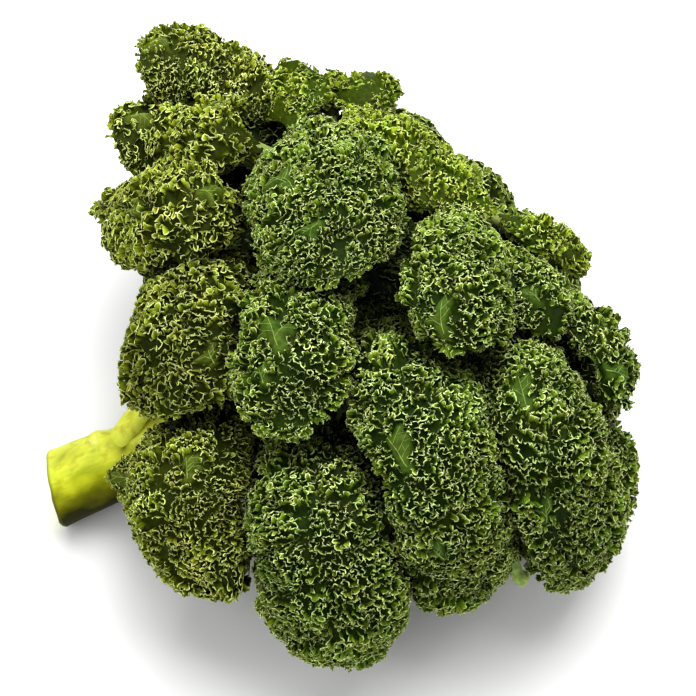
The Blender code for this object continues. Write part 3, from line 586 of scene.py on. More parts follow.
def frill(blade, style, patches, others):
    """Ruffled rims over a blade: points in rows from the lip down, and faces between them."""
    s = STYLES[style]
    seed = blade.seed
    cell = 1.2
    lam = s["space"] * 2.1
    pad = 0.66 * math.pi * blade.tau
    x0, x1 = -blade.edges[0].max() - pad, blade.edges[1].max() + pad
    y0, y1 = -4.0, blade.ys[-1] + pad
    nx, ny = int((x1 - x0) / cell) + 3, int((y1 - y0) / cell) + 3
    chains = zero_lines(ripples(nx, ny, cell, lam, 7, seed * 13 + 5))
    base, top, low, lip, crest, chain_id, phase = [], [], [], [], [], [], []
    offset = 0.0
    for n, chain in enumerate(chains):
        chain = chain * cell + (x0, y0)
        if len(chain) < 8:
            continue
        c0, run = resampled(chain, s["step"])
        if len(c0) < 15:
            continue
        offset += run[-1] + 50.0
        r = run + offset
        zero = np.zeros_like(r)
        _, n0 = perp(c0)
        ph1 = 2 * math.pi * (r / s["wave1"] + 0.55 * noise2(r, zero, s["wave1"] * 1.3, seed + 1))
        am1 = s["high1"] * (1.0 + 0.5 * noise2(r, zero, s["wave1"] * 1.7, seed + 2))
        d1 = n0 * (am1 * np.sin(ph1))[:, None]
        p1 = c0 + d1
        t1, n1 = perp(p1)
        ph2 = 2 * math.pi * (r / s["wave2"] + 0.6 * noise2(r, zero, s["wave2"] * 1.4, seed + 3))
        am2 = s["high2"] * (1.0 + 0.45 * noise2(r, zero, s["wave2"] * 2.1, seed + 4))
        d2 = n1 * (am2 * np.sin(ph2))[:, None] + t1 * (s["over"] * np.sin(2 * ph2))[:, None]
        p2 = p1 + d2
        t2, n2 = perp(p2)
        bend = np.gradient(t2, axis=0)
        curve = (bend * n2).sum(1) / np.maximum(np.linalg.norm(np.gradient(p2, axis=0), axis=1), 1e-3)
        wide = s["lip"] - 0.32 * np.tanh(curve * 2.0)
        base.append(c0)
        top.append(p2)
        low.append(c0 + d1 * 0.40 + d2 * 0.12)
        lip.append(p2 + n2 * wide[:, None])
        crest.append(0.6 * np.sin(ph1 * 0.5 + 1.0) + 0.5 * np.sin(ph2 + 0.8)
                     + 1.0 * noise2(r, zero, 9.0, seed + 6))
        chain_id.append(np.full(len(c0), n))
        phase.append(r)
    base, top, low, lip = map(np.concatenate, (base, top, low, lip))
    crest, chain_id, phase = map(np.concatenate, (crest, chain_id, phase))
    count = len(base)

    q = patch_field(blade, base, patches)
    high, pit = relief(blade, base)
    lean = 1.5 * np.stack([noise2(base[:, 0], base[:, 1], 8.5, seed + 81), noise2(base[:, 0], base[:, 1], 8.5, seed + 82)], 1)
    top, lip, low = top + lean, lip + lean, low - lean * 0.35
    top_h = high + crest - 0.4 - 2.6 * smoothstep((1.35 - q) / 0.4) - 1.5 * pit
    low_h = core_height(blade, low) - 1.0
    placed = []
    for p, h in ((lip, top_h - 0.22), (top, top_h), (low, low_h)):
        pos, alpha = blade.place(p, h)
        placed.append(pos)
    alive = (alpha < 0.57 * math.pi) & (base[:, 1] > 2.0) & (q > 1.0) & (pit < 0.7)
    some = np.arange(0, count, 10)
    facing = placed[1][some] - placed[2][some]
    facing /= np.maximum(np.linalg.norm(facing, axis=1), 1e-6)[:, None]
    seen = in_sight(placed[1][some], facing, others)
    near = seen.copy()
    near[1:] = np.maximum(near[1:], seen[:-1])
    near[:-1] = np.maximum(near[:-1], seen[1:])
    seen = np.repeat(near, 10)[:count]
    alive &= seen > 0
    fine = (seen > 1) & (alpha < 0.5 * math.pi) if style != "plain" else np.ones(count, bool)
    pos = np.concatenate(placed)
    # depth picks the colour: the pale lip is partly painted highlight, the foot of the wall partly painted shade
    depth = np.concatenate([np.zeros(count), np.full(count, 0.6), np.full(count, 5.2)])

    kept = np.nonzero(alive & (fine | (np.arange(count) % 2 == 0)))[0]
    i, j = kept[:-1], kept[1:]
    step = np.linalg.norm(placed[1][j] - placed[1][i], axis=1)
    ok = (j - i <= 2) & (chain_id[i] == chain_id[j]) & (step < 6.0)
    i, j, step = i[ok], j[ok], step[ok]
    tris, uv = [], []
    run = np.concatenate([[0.0], np.cumsum(step)]) * 0.5
    strip = math.ceil(math.sqrt(run[-1] * 13.0)) + 2.0
    line = np.floor(run[:-1] / strip)
    lines = line[-1] + 1
    u0, u1 = run[:-1] - line * strip, run[1:] - line * strip
    v = [0.0, 1.8, 12.0]
    def corner(which, row, u, at_line):
        """Vertex numbers of one row, and their places on the flat layout."""
        return which + row * count, np.stack([u / (strip + 4.0), (at_line * 13.5 + v[row]) / (lines * 13.5)], 1)

    def add(*corners):
        tris.append(np.stack([c[0] for c in corners], 1))
        uv.append(np.stack([c[1] for c in corners], 1))

    lip0, lip1 = corner(i, 0, u0, line), corner(j, 0, u1, line)
    top0, top1 = corner(i, 1, u0, line), corner(j, 1, u1, line)
    add(lip0, lip1, top1)
    add(lip0, top1, top0)
    # the wall below is laid in pairs of steps, with half as many corners at its foot
    spot = np.arange(len(i))
    goes_on = np.append(j[:-1] == i[1:], False)
    begin = np.maximum.accumulate(np.where(np.append(True, ~goes_on[:-1]), spot, 0))
    lead = np.nonzero(((spot - begin) % 2 == 0) & goes_on)[0]
    alone = np.setdiff1d(spot, np.concatenate([lead, lead + 1]))
    here = line[lead]
    u2 = run[lead + 2] - here * strip
    ta, tb, tc = (corner(i[lead], 1, u0[lead], here), corner(j[lead], 1, u1[lead], here), corner(j[lead + 1], 1, u2, here))
    la, lc = corner(i[lead], 2, u0[lead], here), corner(j[lead + 1], 2, u2, here)
    add(ta, tb, la)
    add(tb, tc, lc)
    add(tb, lc, la)
    ta, tb = corner(i[alone], 1, u0[alone], line[alone]), corner(j[alone], 1, u1[alone], line[alone])
    la, lb = corner(i[alone], 2, u0[alone], line[alone]), corner(j[alone], 2, u1[alone], line[alone])
    add(ta, tb, lb)
    add(ta, lb, la)
    # painted shade: darker where the relief sinks into creases and deep between other leaves, with a little random tone
    tone = 0.55 + 0.52 * smoothstep((high + 7.5) / 8.5)
    tone *= (1.0 + 0.10 * noise2(base[:, 0], base[:, 1], 16.0, seed + 91)) * shade(blade, base)
    return pos, np.concatenate(tris), depth, np.concatenate(uv), np.tile(tone, 3)


def core_height(blade, p, patches=None):
    """Height of the leaf under the frills."""
    high, pit = relief(blade, p)
    return high * 0.8 - WALL - 3.5 * pit


def vein_lines(blade, patches):
    """Forking lines over a blade, each with its radius and how far the smooth leaf reaches round it."""
    lines = []
    for n, (x0, y0, x1, y1, wide) in enumerate(patches):
        rng = np.random.RandomState(blade.seed * 31 + n)
        stems = [(np.array([x0, y0], float), math.atan2(y1 - y0, x1 - x0), math.hypot(x1 - x0, y1 - y0), 0.42, wide, 0)]
        while stems:
            p, angle, reach, r, w, level = stems.pop()
            count = max(4, int(reach / 1.2))
            bend, line = rng.uniform(-0.025, 0.025), [p.copy()]
            for k in range(count):
                angle += bend + rng.uniform(-0.08, 0.08)
                p = p + 1.2 * np.array([math.cos(angle), math.sin(angle)])
                line.append(p.copy())
                if level == 0 and k in (int(count * 0.25), int(count * 0.45), int(count * 0.68)) or level == 1 and k == int(count * 0.5):
                    side = 1 if (k + n) % 2 else -1
                    stems.append((p.copy(), angle + side * rng.uniform(0.65, 0.95), reach * rng.uniform(0.36, 0.55), r * 0.62, w * 0.74, level + 1))
            lines.append((np.array(line), r, w))
    return lines


def patch_field(blade, p, patches):
    """Below 1 inside the smooth patches of a blade, where the leaf shows no frill."""
    q = np.full(len(p), 9.0)
    for line, r, w in vein_lines(blade, patches):
        width = w * (1.0 - 0.45 * np.arange(len(line)) / len(line))
        near = np.nonzero(np.hypot(*(p - line.mean(0)).T) < 24.0 + w * 2)[0]
        if len(near):
            d = np.hypot(p[near, None, 0] - line[None, :, 0], p[near, None, 1] - line[None, :, 1]) / width
            q[near] = np.minimum(q[near], d.min(1))
    return q + 0.42 * noise2(p[:, 0], p[:, 1], 4.2, blade.seed + 60)


# ------------------------------------------------- lamina, midrib and petiole
def tube(points, radii, sides, flat=None, normal=None):
    """Closed tube along a line, and where its corners lie on a flat layout."""
    t = np.gradient(points, axis=0)
    t /= np.linalg.norm(t, axis=1)[:, None]
    n = normal if normal is not None else np.tile([0.0, 0.0, 1.0], (len(points), 1))
    n = n - t * (n * t).sum(1)[:, None]
    n /= np.linalg.norm(n, axis=1)[:, None]
    b = np.cross(t, n)
    a = 2 * math.pi * np.arange(sides) / sides
    ring = np.stack([np.cos(a), np.sin(a)], 1)
    squeeze = 1.0 if flat is None else flat
    pos = (points[:, None] + radii[:, None, None] * (
        b[:, None] * ring[None, :, :1] + n[:, None] * ring[None, :, 1:] * squeeze)).reshape(-1, 3)
    k = np.arange(sides)
    i = np.arange(len(points) - 1)[:, None] * sides
    quad = np.stack([i + k, i + (k + 1) % sides, i + sides + (k + 1) % sides, i + sides + k], -1).reshape(-1, 4)
    tris = np.concatenate([quad[:, [0, 1, 2]], quad[:, [0, 2, 3]]])
    along = np.repeat(np.arange(len(points) - 1) / (len(points) - 1.0), sides)
    round_ = np.tile(k / (sides + 1.0), len(points) - 1)
    da, dr = 1.0 / (len(points) - 1.0), 1.0 / (sides + 1.0)
    box = np.stack([np.stack([along, along, along + da, along + da], 1),
                    np.stack([round_, round_ + dr, round_ + dr, round_], 1)], -1)
    uv = np.concatenate([box[:, [0, 1, 2]], box[:, [0, 2, 3]]])
    m = len(pos)
    pos = np.concatenate([pos, points[:1], points[-1:]])
    last = (len(points) - 1) * sides
    caps = np.concatenate([
        np.stack([np.full(sides, m), (k + 1) % sides, k], 1),
        np.stack([np.full(sides, m + 1), last + k, last + (k + 1) % sides], 1),
    ])
    turn = np.stack([np.cos(a), np.sin(a)], 1) * 0.5 * dr
    spots = [np.array([0.25, 1.0 - 0.5 * dr]), np.array([0.75, 1.0 - 0.5 * dr])]
    nxt = np.roll(turn, -1, 0)
    cap_uv = np.concatenate([
        np.stack([np.broadcast_to(spots[0], turn.shape), spots[0] + nxt, spots[0] + turn], 1),
        np.stack([np.broadcast_to(spots[1], turn.shape), spots[1] + turn, spots[1] + nxt], 1)])
    return pos, np.concatenate([tris, caps]), np.concatenate([uv, cap_uv])


def patch_height(blade, p, q):
    """Height of the leaf with its smooth patches, which rise a little from the creases round them."""
    rise = smoothstep((1.45 - q) / 0.4)
    calm = -2.9 - 0.9 * np.clip(q, 0, 1) ** 2 + 0.7 * noise2(p[:, 0], p[:, 1], 6.0, blade.seed + 71)
    return core_height(blade, p) * (1 - rise) + calm * rise, rise


def lamina(blade, patches, style):
    """The closed leaf under the frills: its ruffled side, its rolled edge and its back."""
    fine = 2.8 if patches else 3.8 if style != "plain" else 4.8
    rows = np.linspace(0.0, blade.ys[-1], int(blade.ys[-1] / fine) + 2)
    cols = max(9, int((blade.edges[0].max() + blade.edges[1].max()) / fine))
    w = np.linspace(-1.0, 1.0, cols)
    lo = np.interp(rows, blade.ys, blade.edges[0])
    hi = np.interp(rows, blade.ys, blade.edges[1])
    x = np.where(w[None] < 0, w[None] * lo[:, None], w[None] * hi[:, None])
    p = np.stack([x, np.repeat(rows[:, None], cols, 1)], -1).reshape(-1, 2)
    n, m = len(p), len(rows)
    q = patch_field(blade, p, patches)
    high, rise = patch_height(blade, p, q)
    pos, across, along, face = blade.mid(p)
    tau = blade.tau_at(p[:, 1])
    outer = pos + face * np.maximum(tau + high, 0.8)[:, None]
    inner = pos - face * (1.2 + 0.4 * noise2(p[:, 0], p[:, 1], 7.0, blade.seed + 72))[:, None]
    loop = np.concatenate([
        np.arange(cols - 1), np.arange(m - 1) * cols + cols - 1,
        (m - 1) * cols + np.arange(cols - 1, 0, -1), np.arange(m - 1, 0, -1) * cols])
    lp = p[loop]
    t = np.roll(lp, -2, 0) + np.roll(lp, -1, 0) - np.roll(lp, 1, 0) - np.roll(lp, 2, 0)
    e = np.stack([t[:, 1], -t[:, 0]], 1)
    e /= np.maximum(np.linalg.norm(e, axis=1), 1e-6)[:, None]
    away = across[loop] * e[:, :1] + along[loop] * e[:, 1:]
    verts, band = [outer], []
    for k, alpha in enumerate(np.radians([28, 56, 84, 112])):
        high_k, _ = patch_height(blade, lp + e * (alpha * tau[loop])[:, None], q[loop] + 0.3 * k)
        r = np.maximum(tau[loop] + high_k, 0.8)[:, None]
        verts.append(pos[loop] + r * (face[loop] * math.cos(alpha) + away * math.sin(alpha)))
        band.append(n + k * len(loop) + np.arange(len(loop)))
    verts.append(inner[loop])
    verts.append(inner)
    last_ring = n + len(band) * len(loop) + np.arange(len(loop))
    back = n + (len(band) + 1) * len(loop)
    i = (np.arange(m - 1)[:, None] * cols + np.arange(cols - 1)[None]).reshape(-1)
    top = np.stack([i, i + 1, i + 1 + cols, i + cols], 1)
    quads = [top]
    rings = [loop] + band + [last_ring]
    for a, b in zip(rings[:-1], rings[1:]):
        quads.append(np.stack([a, b, np.roll(b, -1), np.roll(a, -1)], 1))
    front = sum(len(x) for x in quads)
    ri = np.unique(np.append(np.arange(0, m, 2), m - 1))
    ci = np.unique(np.append(np.arange(0, cols, 2), cols - 1))
    behind = np.stack([a.reshape(-1) for a in (
        ri[:-1, None] * cols + ci[None, :-1], ri[1:, None] * cols + ci[None, :-1],
        ri[1:, None] * cols + ci[None, 1:], ri[:-1, None] * cols + ci[None, 1:])], 1)
    quads.append(behind + back)
    quads = np.concatenate(quads)
    # the ruffled side with its rolled edge in one layout, the back in another
    lay = np.concatenate([p] + [lp + e * (math.radians(28.0 * (k + 1)) * tau[loop])[:, None] for k in range(5)] + [p])
    low_, high_ = lay.min(0), lay.max(0)
    room = (high_ - low_).max() * 1.06
    lay_front = (lay - (low_ + high_) / 2) / room * (0.98, 0.98) + 0.5
    lay_back = (lay - (low_ + high_) / 2) / room * 0.98 + 0.5
    uv = lay_front[quads[:front]]
    uv[:, :, 0] *= 0.5
    uv_back = lay_back[quads[front:]]
    uv_back[:, :, 0] = 0.5 + 0.5 * uv_back[:, :, 0]
    uv = np.concatenate([uv, uv_back])
    uv = np.concatenate([uv[:, [0, 1, 2]], uv[:, [0, 2, 3]]])
    tris = np.concatenate([quads[:, [0, 1, 2]], quads[:, [0, 2, 3]]])
    # the leaf under the frills sits deep on the colour ramp, dark with painted shade; its smooth patches rise paler
    depth = np.concatenate([8.6 - 3.6 * rise, np.full(len(band) * len(loop), 8.6), np.full(len(loop) + n, 5.0)])
    # painted shade where the leaf lies deep between others
    tone = shade(blade, np.concatenate([p] + [lp] * 5 + [p]))
    veil = np.concatenate([0.07 * rise, np.zeros(len(depth) - n)])
    return np.concatenate(verts), tris, depth, uv, tone, veil


def rib(blade):
    """Petiole and the midrib it turns into."""
    whole, normal, y = blade.whole, blade.normal, blade.stem_y
    u = np.clip(y / blade.length, 0, 1)
    away = np.clip(-y / blade.stem_length, 0, 1)
    radius = 4.4 * (1 - u) ** 0.8 + 0.9 + 2.6 * away ** 6
    drop = smoothstep(y / 25.0 + 0.6) * (1.2 + radius * 0.55)
    keep = y < blade.ys[-1] - 4.0
    keep[0] = True
    points = (whole - normal * drop[:, None])[keep]
    pick = np.unique(np.concatenate([np.arange(0, len(points), 2), [len(points) - 1]]))
    # painted shade where the petiole lies deep between other leaves
    tone = shade(blade, np.stack([y * 0, np.maximum(y, 0.0)], 1)[keep][pick])
    tone = np.concatenate([np.repeat(tone, 8), tone[:1], tone[-1:]])
    return *tube(points[pick], (radius[keep] * 0.92)[pick], 8, 0.82, normal[keep][pick]), tone


def veins(blade, patches):
    """Forking ribs over the smooth patches."""
    out = []
    for line, r, w in vein_lines(blade, patches):
        q = patch_field(blade, line, patches)
        pos, across, along, face = blade.mid(line)
        high, _ = patch_height(blade, line, q)
        up = blade.tau_at(line[:, 1]) + high
        out.append(tube(pos + face * (up - r * 0.25)[:, None], np.linspace(r, r * 0.45, len(line)), 5, None, face))
    return out


# ------------------------------------------------------------------ materials
def linear(r, g, b):
    out = []
    for c in (r, g, b):
        c /= 255.0
        out.append(c / 12.92 if c <= 0.04045 else ((c + 0.055) / 1.055) ** 2.4)
    return (*out, 1.0)


def node(tree, kind, x, y, **inputs):
    n = tree.nodes.new(kind)
    n.location = (x, y)
    for key, value in inputs.items():
        setattr(n, key, value)
    return n


def leaf_material(name, rim, flesh, mid, deep, rib_colour):
    mat = bpy.data.materials.new(name)
    mat.use_nodes = True
    t = mat.node_tree
    shader = t.nodes["Principled BSDF"]
    link = t.links.new
    shader.inputs["Roughness"].default_value = 0.55
    shader.inputs["Specular IOR Level"].default_value = 0.05

    depth = node(t, "ShaderNodeAttribute", -1500, 200, attribute_name="depth")
    tone = node(t, "ShaderNodeAttribute", -1500, 0, attribute_name="tone")
    stem = node(t, "ShaderNodeAttribute", -1500, -200, attribute_name="rib")
    place = node(t, "ShaderNodeTexCoord", -1700, -400)

    fine = node(t, "ShaderNodeTexNoise", -1500, -400)
    fine.inputs["Scale"].default_value = 900.0
    fine.inputs["Detail"].default_value = 2.0
    link(place.outputs["Object"], fine.inputs["Vector"])
    broad = node(t, "ShaderNodeTexNoise", -1500, -650)
    broad.inputs["Scale"].default_value = 55.0
    broad.inputs["Detail"].default_value = 2.0
    link(place.outputs["Object"], broad.inputs["Vector"])

    # depth below the rim, made a little uneven; it runs the colour from a pale rim, partly painted highlight, to a
    # near-black foot, partly painted shade
    wobble = node(t, "ShaderNodeMath", -1250, 200, operation="MULTIPLY_ADD")
    link(fine.outputs["Fac"], wobble.inputs[0])
    wobble.inputs[1].default_value = 0.5
    wobble.inputs[2].default_value = -0.25
    deeper = node(t, "ShaderNodeMath", -1080, 200, operation="ADD")
    link(depth.outputs["Fac"], deeper.inputs[0])
    link(wobble.outputs[0], deeper.inputs[1])
    share = node(t, "ShaderNodeMath", -920, 200, operation="DIVIDE")
    link(deeper.outputs[0], share.inputs[0])
    share.inputs[1].default_value = 10.0
    ramp = node(t, "ShaderNodeValToRGB", -740, 200)
    ramp.color_ramp.elements[0].position = 0.035
    ramp.color_ramp.elements[0].color = rim
    ramp.color_ramp.elements[1].position = 1.0
    ramp.color_ramp.elements[1].color = deep
    e = ramp.color_ramp.elements.new(0.10)
    e.color = flesh
    e = ramp.color_ramp.elements.new(0.42)
    e.color = mid
    link(share.outputs[0], ramp.inputs["Fac"])

    # broad drift of colour, mottling, and the tone attribute: painted shade in creases and deep between leaves, with a
    # little random tone
    drift = node(t, "ShaderNodeHueSaturation", -440, 200)
    hue = node(t, "ShaderNodeMapRange", -740, -150)
    hue.inputs["From Min"].default_value = 0.3
    hue.inputs["From Max"].default_value = 0.7
    hue.inputs["To Min"].default_value = 0.487
    hue.inputs["To Max"].default_value = 0.510
    link(broad.outputs["Fac"], hue.inputs["Value"])
    link(hue.outputs["Result"], drift.inputs["Hue"])
    mottle = node(t, "ShaderNodeTexNoise", -1500, -900)
    mottle.inputs["Scale"].default_value = 330.0
    mottle.inputs["Detail"].default_value = 3.0
    link(place.outputs["Object"], mottle.inputs["Vector"])
    uneven = node(t, "ShaderNodeMapRange", -1250, -900)
    uneven.inputs["From Min"].default_value = 0.34
    uneven.inputs["From Max"].default_value = 0.66
    uneven.inputs["To Min"].default_value = 0.70
    uneven.inputs["To Max"].default_value = 1.26
    link(mottle.outputs["Fac"], uneven.inputs["Value"])
    value = node(t, "ShaderNodeMath", -900, -600, operation="MULTIPLY")
    link(tone.outputs["Fac"], value.inputs[0])
    link(uneven.outputs["Result"], value.inputs[1])
    link(value.outputs[0], drift.inputs["Value"])
    pale = node(t, "ShaderNodeMix", -600, 400, data_type="RGBA")
    link(stem.outputs["Fac"], pale.inputs["Factor"])
    link(ramp.outputs["Color"], pale.inputs["A"])
    pale.inputs["B"].default_value = rib_colour
    link(pale.outputs["Result"], drift.inputs["Color"])
    link(drift.outputs["Color"], shader.inputs["Base Color"])

    rough = node(t, "ShaderNodeMapRange", -440, -150)
    rough.inputs["To Min"].default_value = 0.48
    rough.inputs["To Max"].default_value = 0.68
    link(fine.outputs["Fac"], rough.inputs["Value"])
    link(rough.outputs["Result"], shader.inputs["Roughness"])
    bump = node(t, "ShaderNodeBump", -220, -300)
    bump.inputs["Strength"].default_value = 0.35
    bump.inputs["Distance"].default_value = 0.0006
    link(fine.outputs["Fac"], bump.inputs["Height"])
    link(bump.outputs["Normal"], shader.inputs["Normal"])
    return mat


def stalk_material():
    mat = bpy.data.materials.new("stalk_flesh")
    mat.use_nodes = True
    t = mat.node_tree
    shader = t.nodes["Principled BSDF"]
    link = t.links.new
    shader.inputs["Specular IOR Level"].default_value = 0.05
    shader.inputs["Subsurface Weight"].default_value = 0.0

    grain = node(t, "ShaderNodeAttribute", -1700, 0, attribute_name="grain")
    inner = node(t, "ShaderNodeAttribute", -1700, -700, attribute_name="depth")
    scar = node(t, "ShaderNodeAttribute", -1700, -500, attribute_name="tone")

    def noise(scale, stretch, detail, y):
        m = node(t, "ShaderNodeMapping", -1450, y)
        m.inputs["Scale"].default_value = stretch
        link(grain.outputs["Vector"], m.inputs["Vector"])
        n = node(t, "ShaderNodeTexNoise", -1250, y)
        n.inputs["Scale"].default_value = scale
        n.inputs["Detail"].default_value = detail
        link(m.outputs["Vector"], n.inputs["Vector"])
        return n

    def ranged(source, a, b, y, low=0.0, high=1.0):
        n = node(t, "ShaderNodeMapRange", -1000, y)
        n.inputs["From Min"].default_value = a
        n.inputs["From Max"].default_value = b
        n.inputs["To Min"].default_value = low
        n.inputs["To Max"].default_value = high
        link(source, n.inputs["Value"])
        return n.outputs["Result"]

    def mixed(factor, a, b, x, y, blend="MIX"):
        n = node(t, "ShaderNodeMix", x, y, data_type="RGBA", blend_type=blend)
        for key, value in (("Factor", factor), ("A", a), ("B", b)):
            if isinstance(value, (tuple, float)):
                n.inputs[key].default_value = value
            else:
                link(value, n.inputs[key])
        return n.outputs["Result"]

    broad = noise(0.07, (0.7, 1.0, 1.0), 3.0, 500)
    streak = noise(0.42, (0.16, 1.0, 1.0), 4.0, 250)
    spot = noise(0.13, (0.9, 1.0, 1.0), 3.0, 0)
    fine = noise(2.2, (0.5, 1.0, 1.0), 2.0, -250)
    split = node(t, "ShaderNodeSeparateXYZ", -1450, -1000)
    link(grain.outputs["Vector"], split.inputs[0])
    colour = mixed(ranged(broad.outputs["Fac"], 0.36, 0.64, 500), linear(168, 184, 6), linear(210, 216, 36), -760, 450)
    colour = mixed(ranged(streak.outputs["Fac"], 0.45, 0.75, 250, 0.0, 0.5), colour, linear(222, 226, 74), -600, 400)
    # painted highlight on the side toward the light
    colour = mixed(ranged(split.outputs["Z"], 8.0, 24.0, -1300, 0.0, 0.55), colour, linear(232, 236, 96), -520, 380)
    colour = mixed(ranged(spot.outputs["Fac"], 0.54, 0.74, 0, 0.0, 0.55), colour, linear(148, 130, 10), -460, 350)
    # painted shade: darker away from the light, made uneven by broad noise
    uneven = node(t, "ShaderNodeMath", -1200, -1000, operation="MULTIPLY_ADD")
    link(broad.outputs["Fac"], uneven.inputs[0])
    uneven.inputs[1].default_value = 22.0
    link(split.outputs["Z"], uneven.inputs[2])
    colour = mixed(ranged(uneven.outputs[0], 25.0, 7.0, -1000, 0.0, 0.88), colour, linear(108, 108, 3), -320, 300)
    colour = mixed(ranged(uneven.outputs[0], 12.0, -3.0, -1080, 0.0, 0.95), colour, linear(30, 28, 2), -260, 280)
    # a dark line at the cut edge, its own colour, drawn stronger away from the light as painted shade
    rim_on = node(t, "ShaderNodeMath", -700, -1150, operation="MULTIPLY")
    link(ranged(split.outputs["X"], 2.4, 0.8, -1150, 0.0, 0.85), rim_on.inputs[0])
    link(ranged(split.outputs["Z"], 26.0, -6.0, -1220, 0.45, 1.0), rim_on.inputs[1])
    colour = mixed(rim_on.outputs[0], colour, linear(72, 76, 8), -200, 250)
    # on the stalk the rib attribute carries its darker marks, partly painted shade in creases
    marks_and_crease_shade = node(t, "ShaderNodeAttribute", -1700, -300, attribute_name="rib")
    colour = mixed(marks_and_crease_shade.outputs["Fac"], colour, linear(84, 86, 4), -140, 230)
    colour = mixed(ranged(scar.outputs["Fac"], 0.05, 0.8, -500, 0.0, 0.35), colour, linear(224, 224, 150), -80, 200)
    rings = node(t, "ShaderNodeValToRGB", -760, -700)
    e = rings.color_ramp.elements
    e[0].position, e[0].color = 0.0, linear(150, 168, 60)
    e[1].position, e[1].color = 1.0, linear(232, 236, 184)
    for at_, c in ((0.16, linear(206, 218, 122)), (0.30, linear(222, 230, 150)), (0.38, linear(178, 196, 96)), (0.46, linear(226, 232, 158))):
        n = e.new(at_)
        n.color = c
    link(inner.outputs["Fac"], rings.inputs["Fac"])
    on_cut = ranged(inner.outputs["Fac"], 0.0, 0.10, -850)
    cut = mixed(ranged(fine.outputs["Fac"], 0.35, 0.75, -250, 0.0, 0.30), rings.outputs["Color"], linear(188, 196, 104), -460, -600)
    colour = mixed(on_cut, colour, cut, 60, 150)
    link(colour, shader.inputs["Base Color"])
    link(ranged(fine.outputs["Fac"], 0.2, 0.8, -400, 0.46, 0.64), shader.inputs["Roughness"])
    bump = node(t, "ShaderNodeBump", -200, -300)
    bump.inputs["Strength"].default_value = 0.25
    bump.inputs["Distance"].default_value = 0.0008
    link(streak.outputs["Fac"], bump.inputs["Height"])
    link(bump.outputs["Normal"], shader.inputs["Normal"])
    return mat


# -------------------------------------------------------------------- objects
def mesh_piece(name, parts, mat):
    """One object from several parts: points in mm, triangles, attributes and a flat layout."""
    verts = np.concatenate([p["pos"] for p in parts])
    start = np.cumsum([0] + [len(p["pos"]) for p in parts])
    tris = np.concatenate([p["tris"] + start[n] for n, p in enumerate(parts)])
    extra = {k: np.concatenate([np.broadcast_to(p[k], len(p["pos"])) for p in parts]).astype(np.float32)
             for k in ("depth", "tone", "rib")}
    layout = []
    for p in parts:
        x, y, w, h = p["cell"]
        layout.append(p["uv"] * (w, h) + (x, y))
    layout = np.concatenate(layout)
    used, tris = np.unique(tris, return_inverse=True)
    tris = tris.reshape(-1, 3)
    verts = verts[used]
    verts[:, 2] = np.maximum(verts[:, 2], 0.25)
    mesh = bpy.data.meshes.new(name)
    mesh.vertices.add(len(verts))
    mesh.vertices.foreach_set("co", (verts * MM).astype(np.float32).ravel())
    mesh.loops.add(tris.size)
    mesh.loops.foreach_set("vertex_index", tris.astype(np.int32).ravel())
    mesh.polygons.add(len(tris))
    mesh.polygons.foreach_set("loop_start", np.arange(0, tris.size, 3, dtype=np.int32))
    for key, value in extra.items():
        layer = mesh.attributes.new(key, "FLOAT", "POINT")
        layer.data.foreach_set("value", value[used])
    if "grain" in parts[0]:
        grain = np.concatenate([p["grain"] for p in parts])[used]
        layer = mesh.attributes.new("grain", "FLOAT_VECTOR", "POINT")
        layer.data.foreach_set("vector", grain.astype(np.float32).ravel())
    mesh.update(calc_edges=True)
    flat = mesh.uv_layers.new(name="OFBake", do_init=False)
    flat.uv.foreach_set("vector", layout.astype(np.float32).ravel())
    mesh.shade_smooth()
    mesh.materials.append(mat)
    obj = bpy.data.objects.new(name, mesh)
    bpy.context.scene.collection.objects.link(obj)
    return obj


PALE_RIB = linear(138, 162, 84)
# colours run rim, flesh, mid, deep: the pale rim is partly painted highlight, the near-black deep partly painted shade
MATERIALS = {
    "leaf_green": leaf_material("leaf_green", linear(212, 229, 146), linear(118, 146, 34), linear(52, 78, 4), linear(9, 18, 0), PALE_RIB),
    "leaf_olive": leaf_material("leaf_olive", linear(220, 231, 138), linear(142, 158, 34), linear(72, 86, 4), linear(14, 22, 0), PALE_RIB),
    "leaf_yellow": leaf_material("leaf_yellow", linear(212, 227, 126), linear(148, 172, 38), linear(84, 108, 5), linear(22, 34, 1), PALE_RIB),
    # a darker copy of leaf_green: painted shade for the leaves at the back, below and inside the head
    "leaf_dark": leaf_material("leaf_dark", linear(202, 217, 136), linear(110, 134, 32), linear(48, 70, 4), linear(8, 15, 0), PALE_RIB),
}

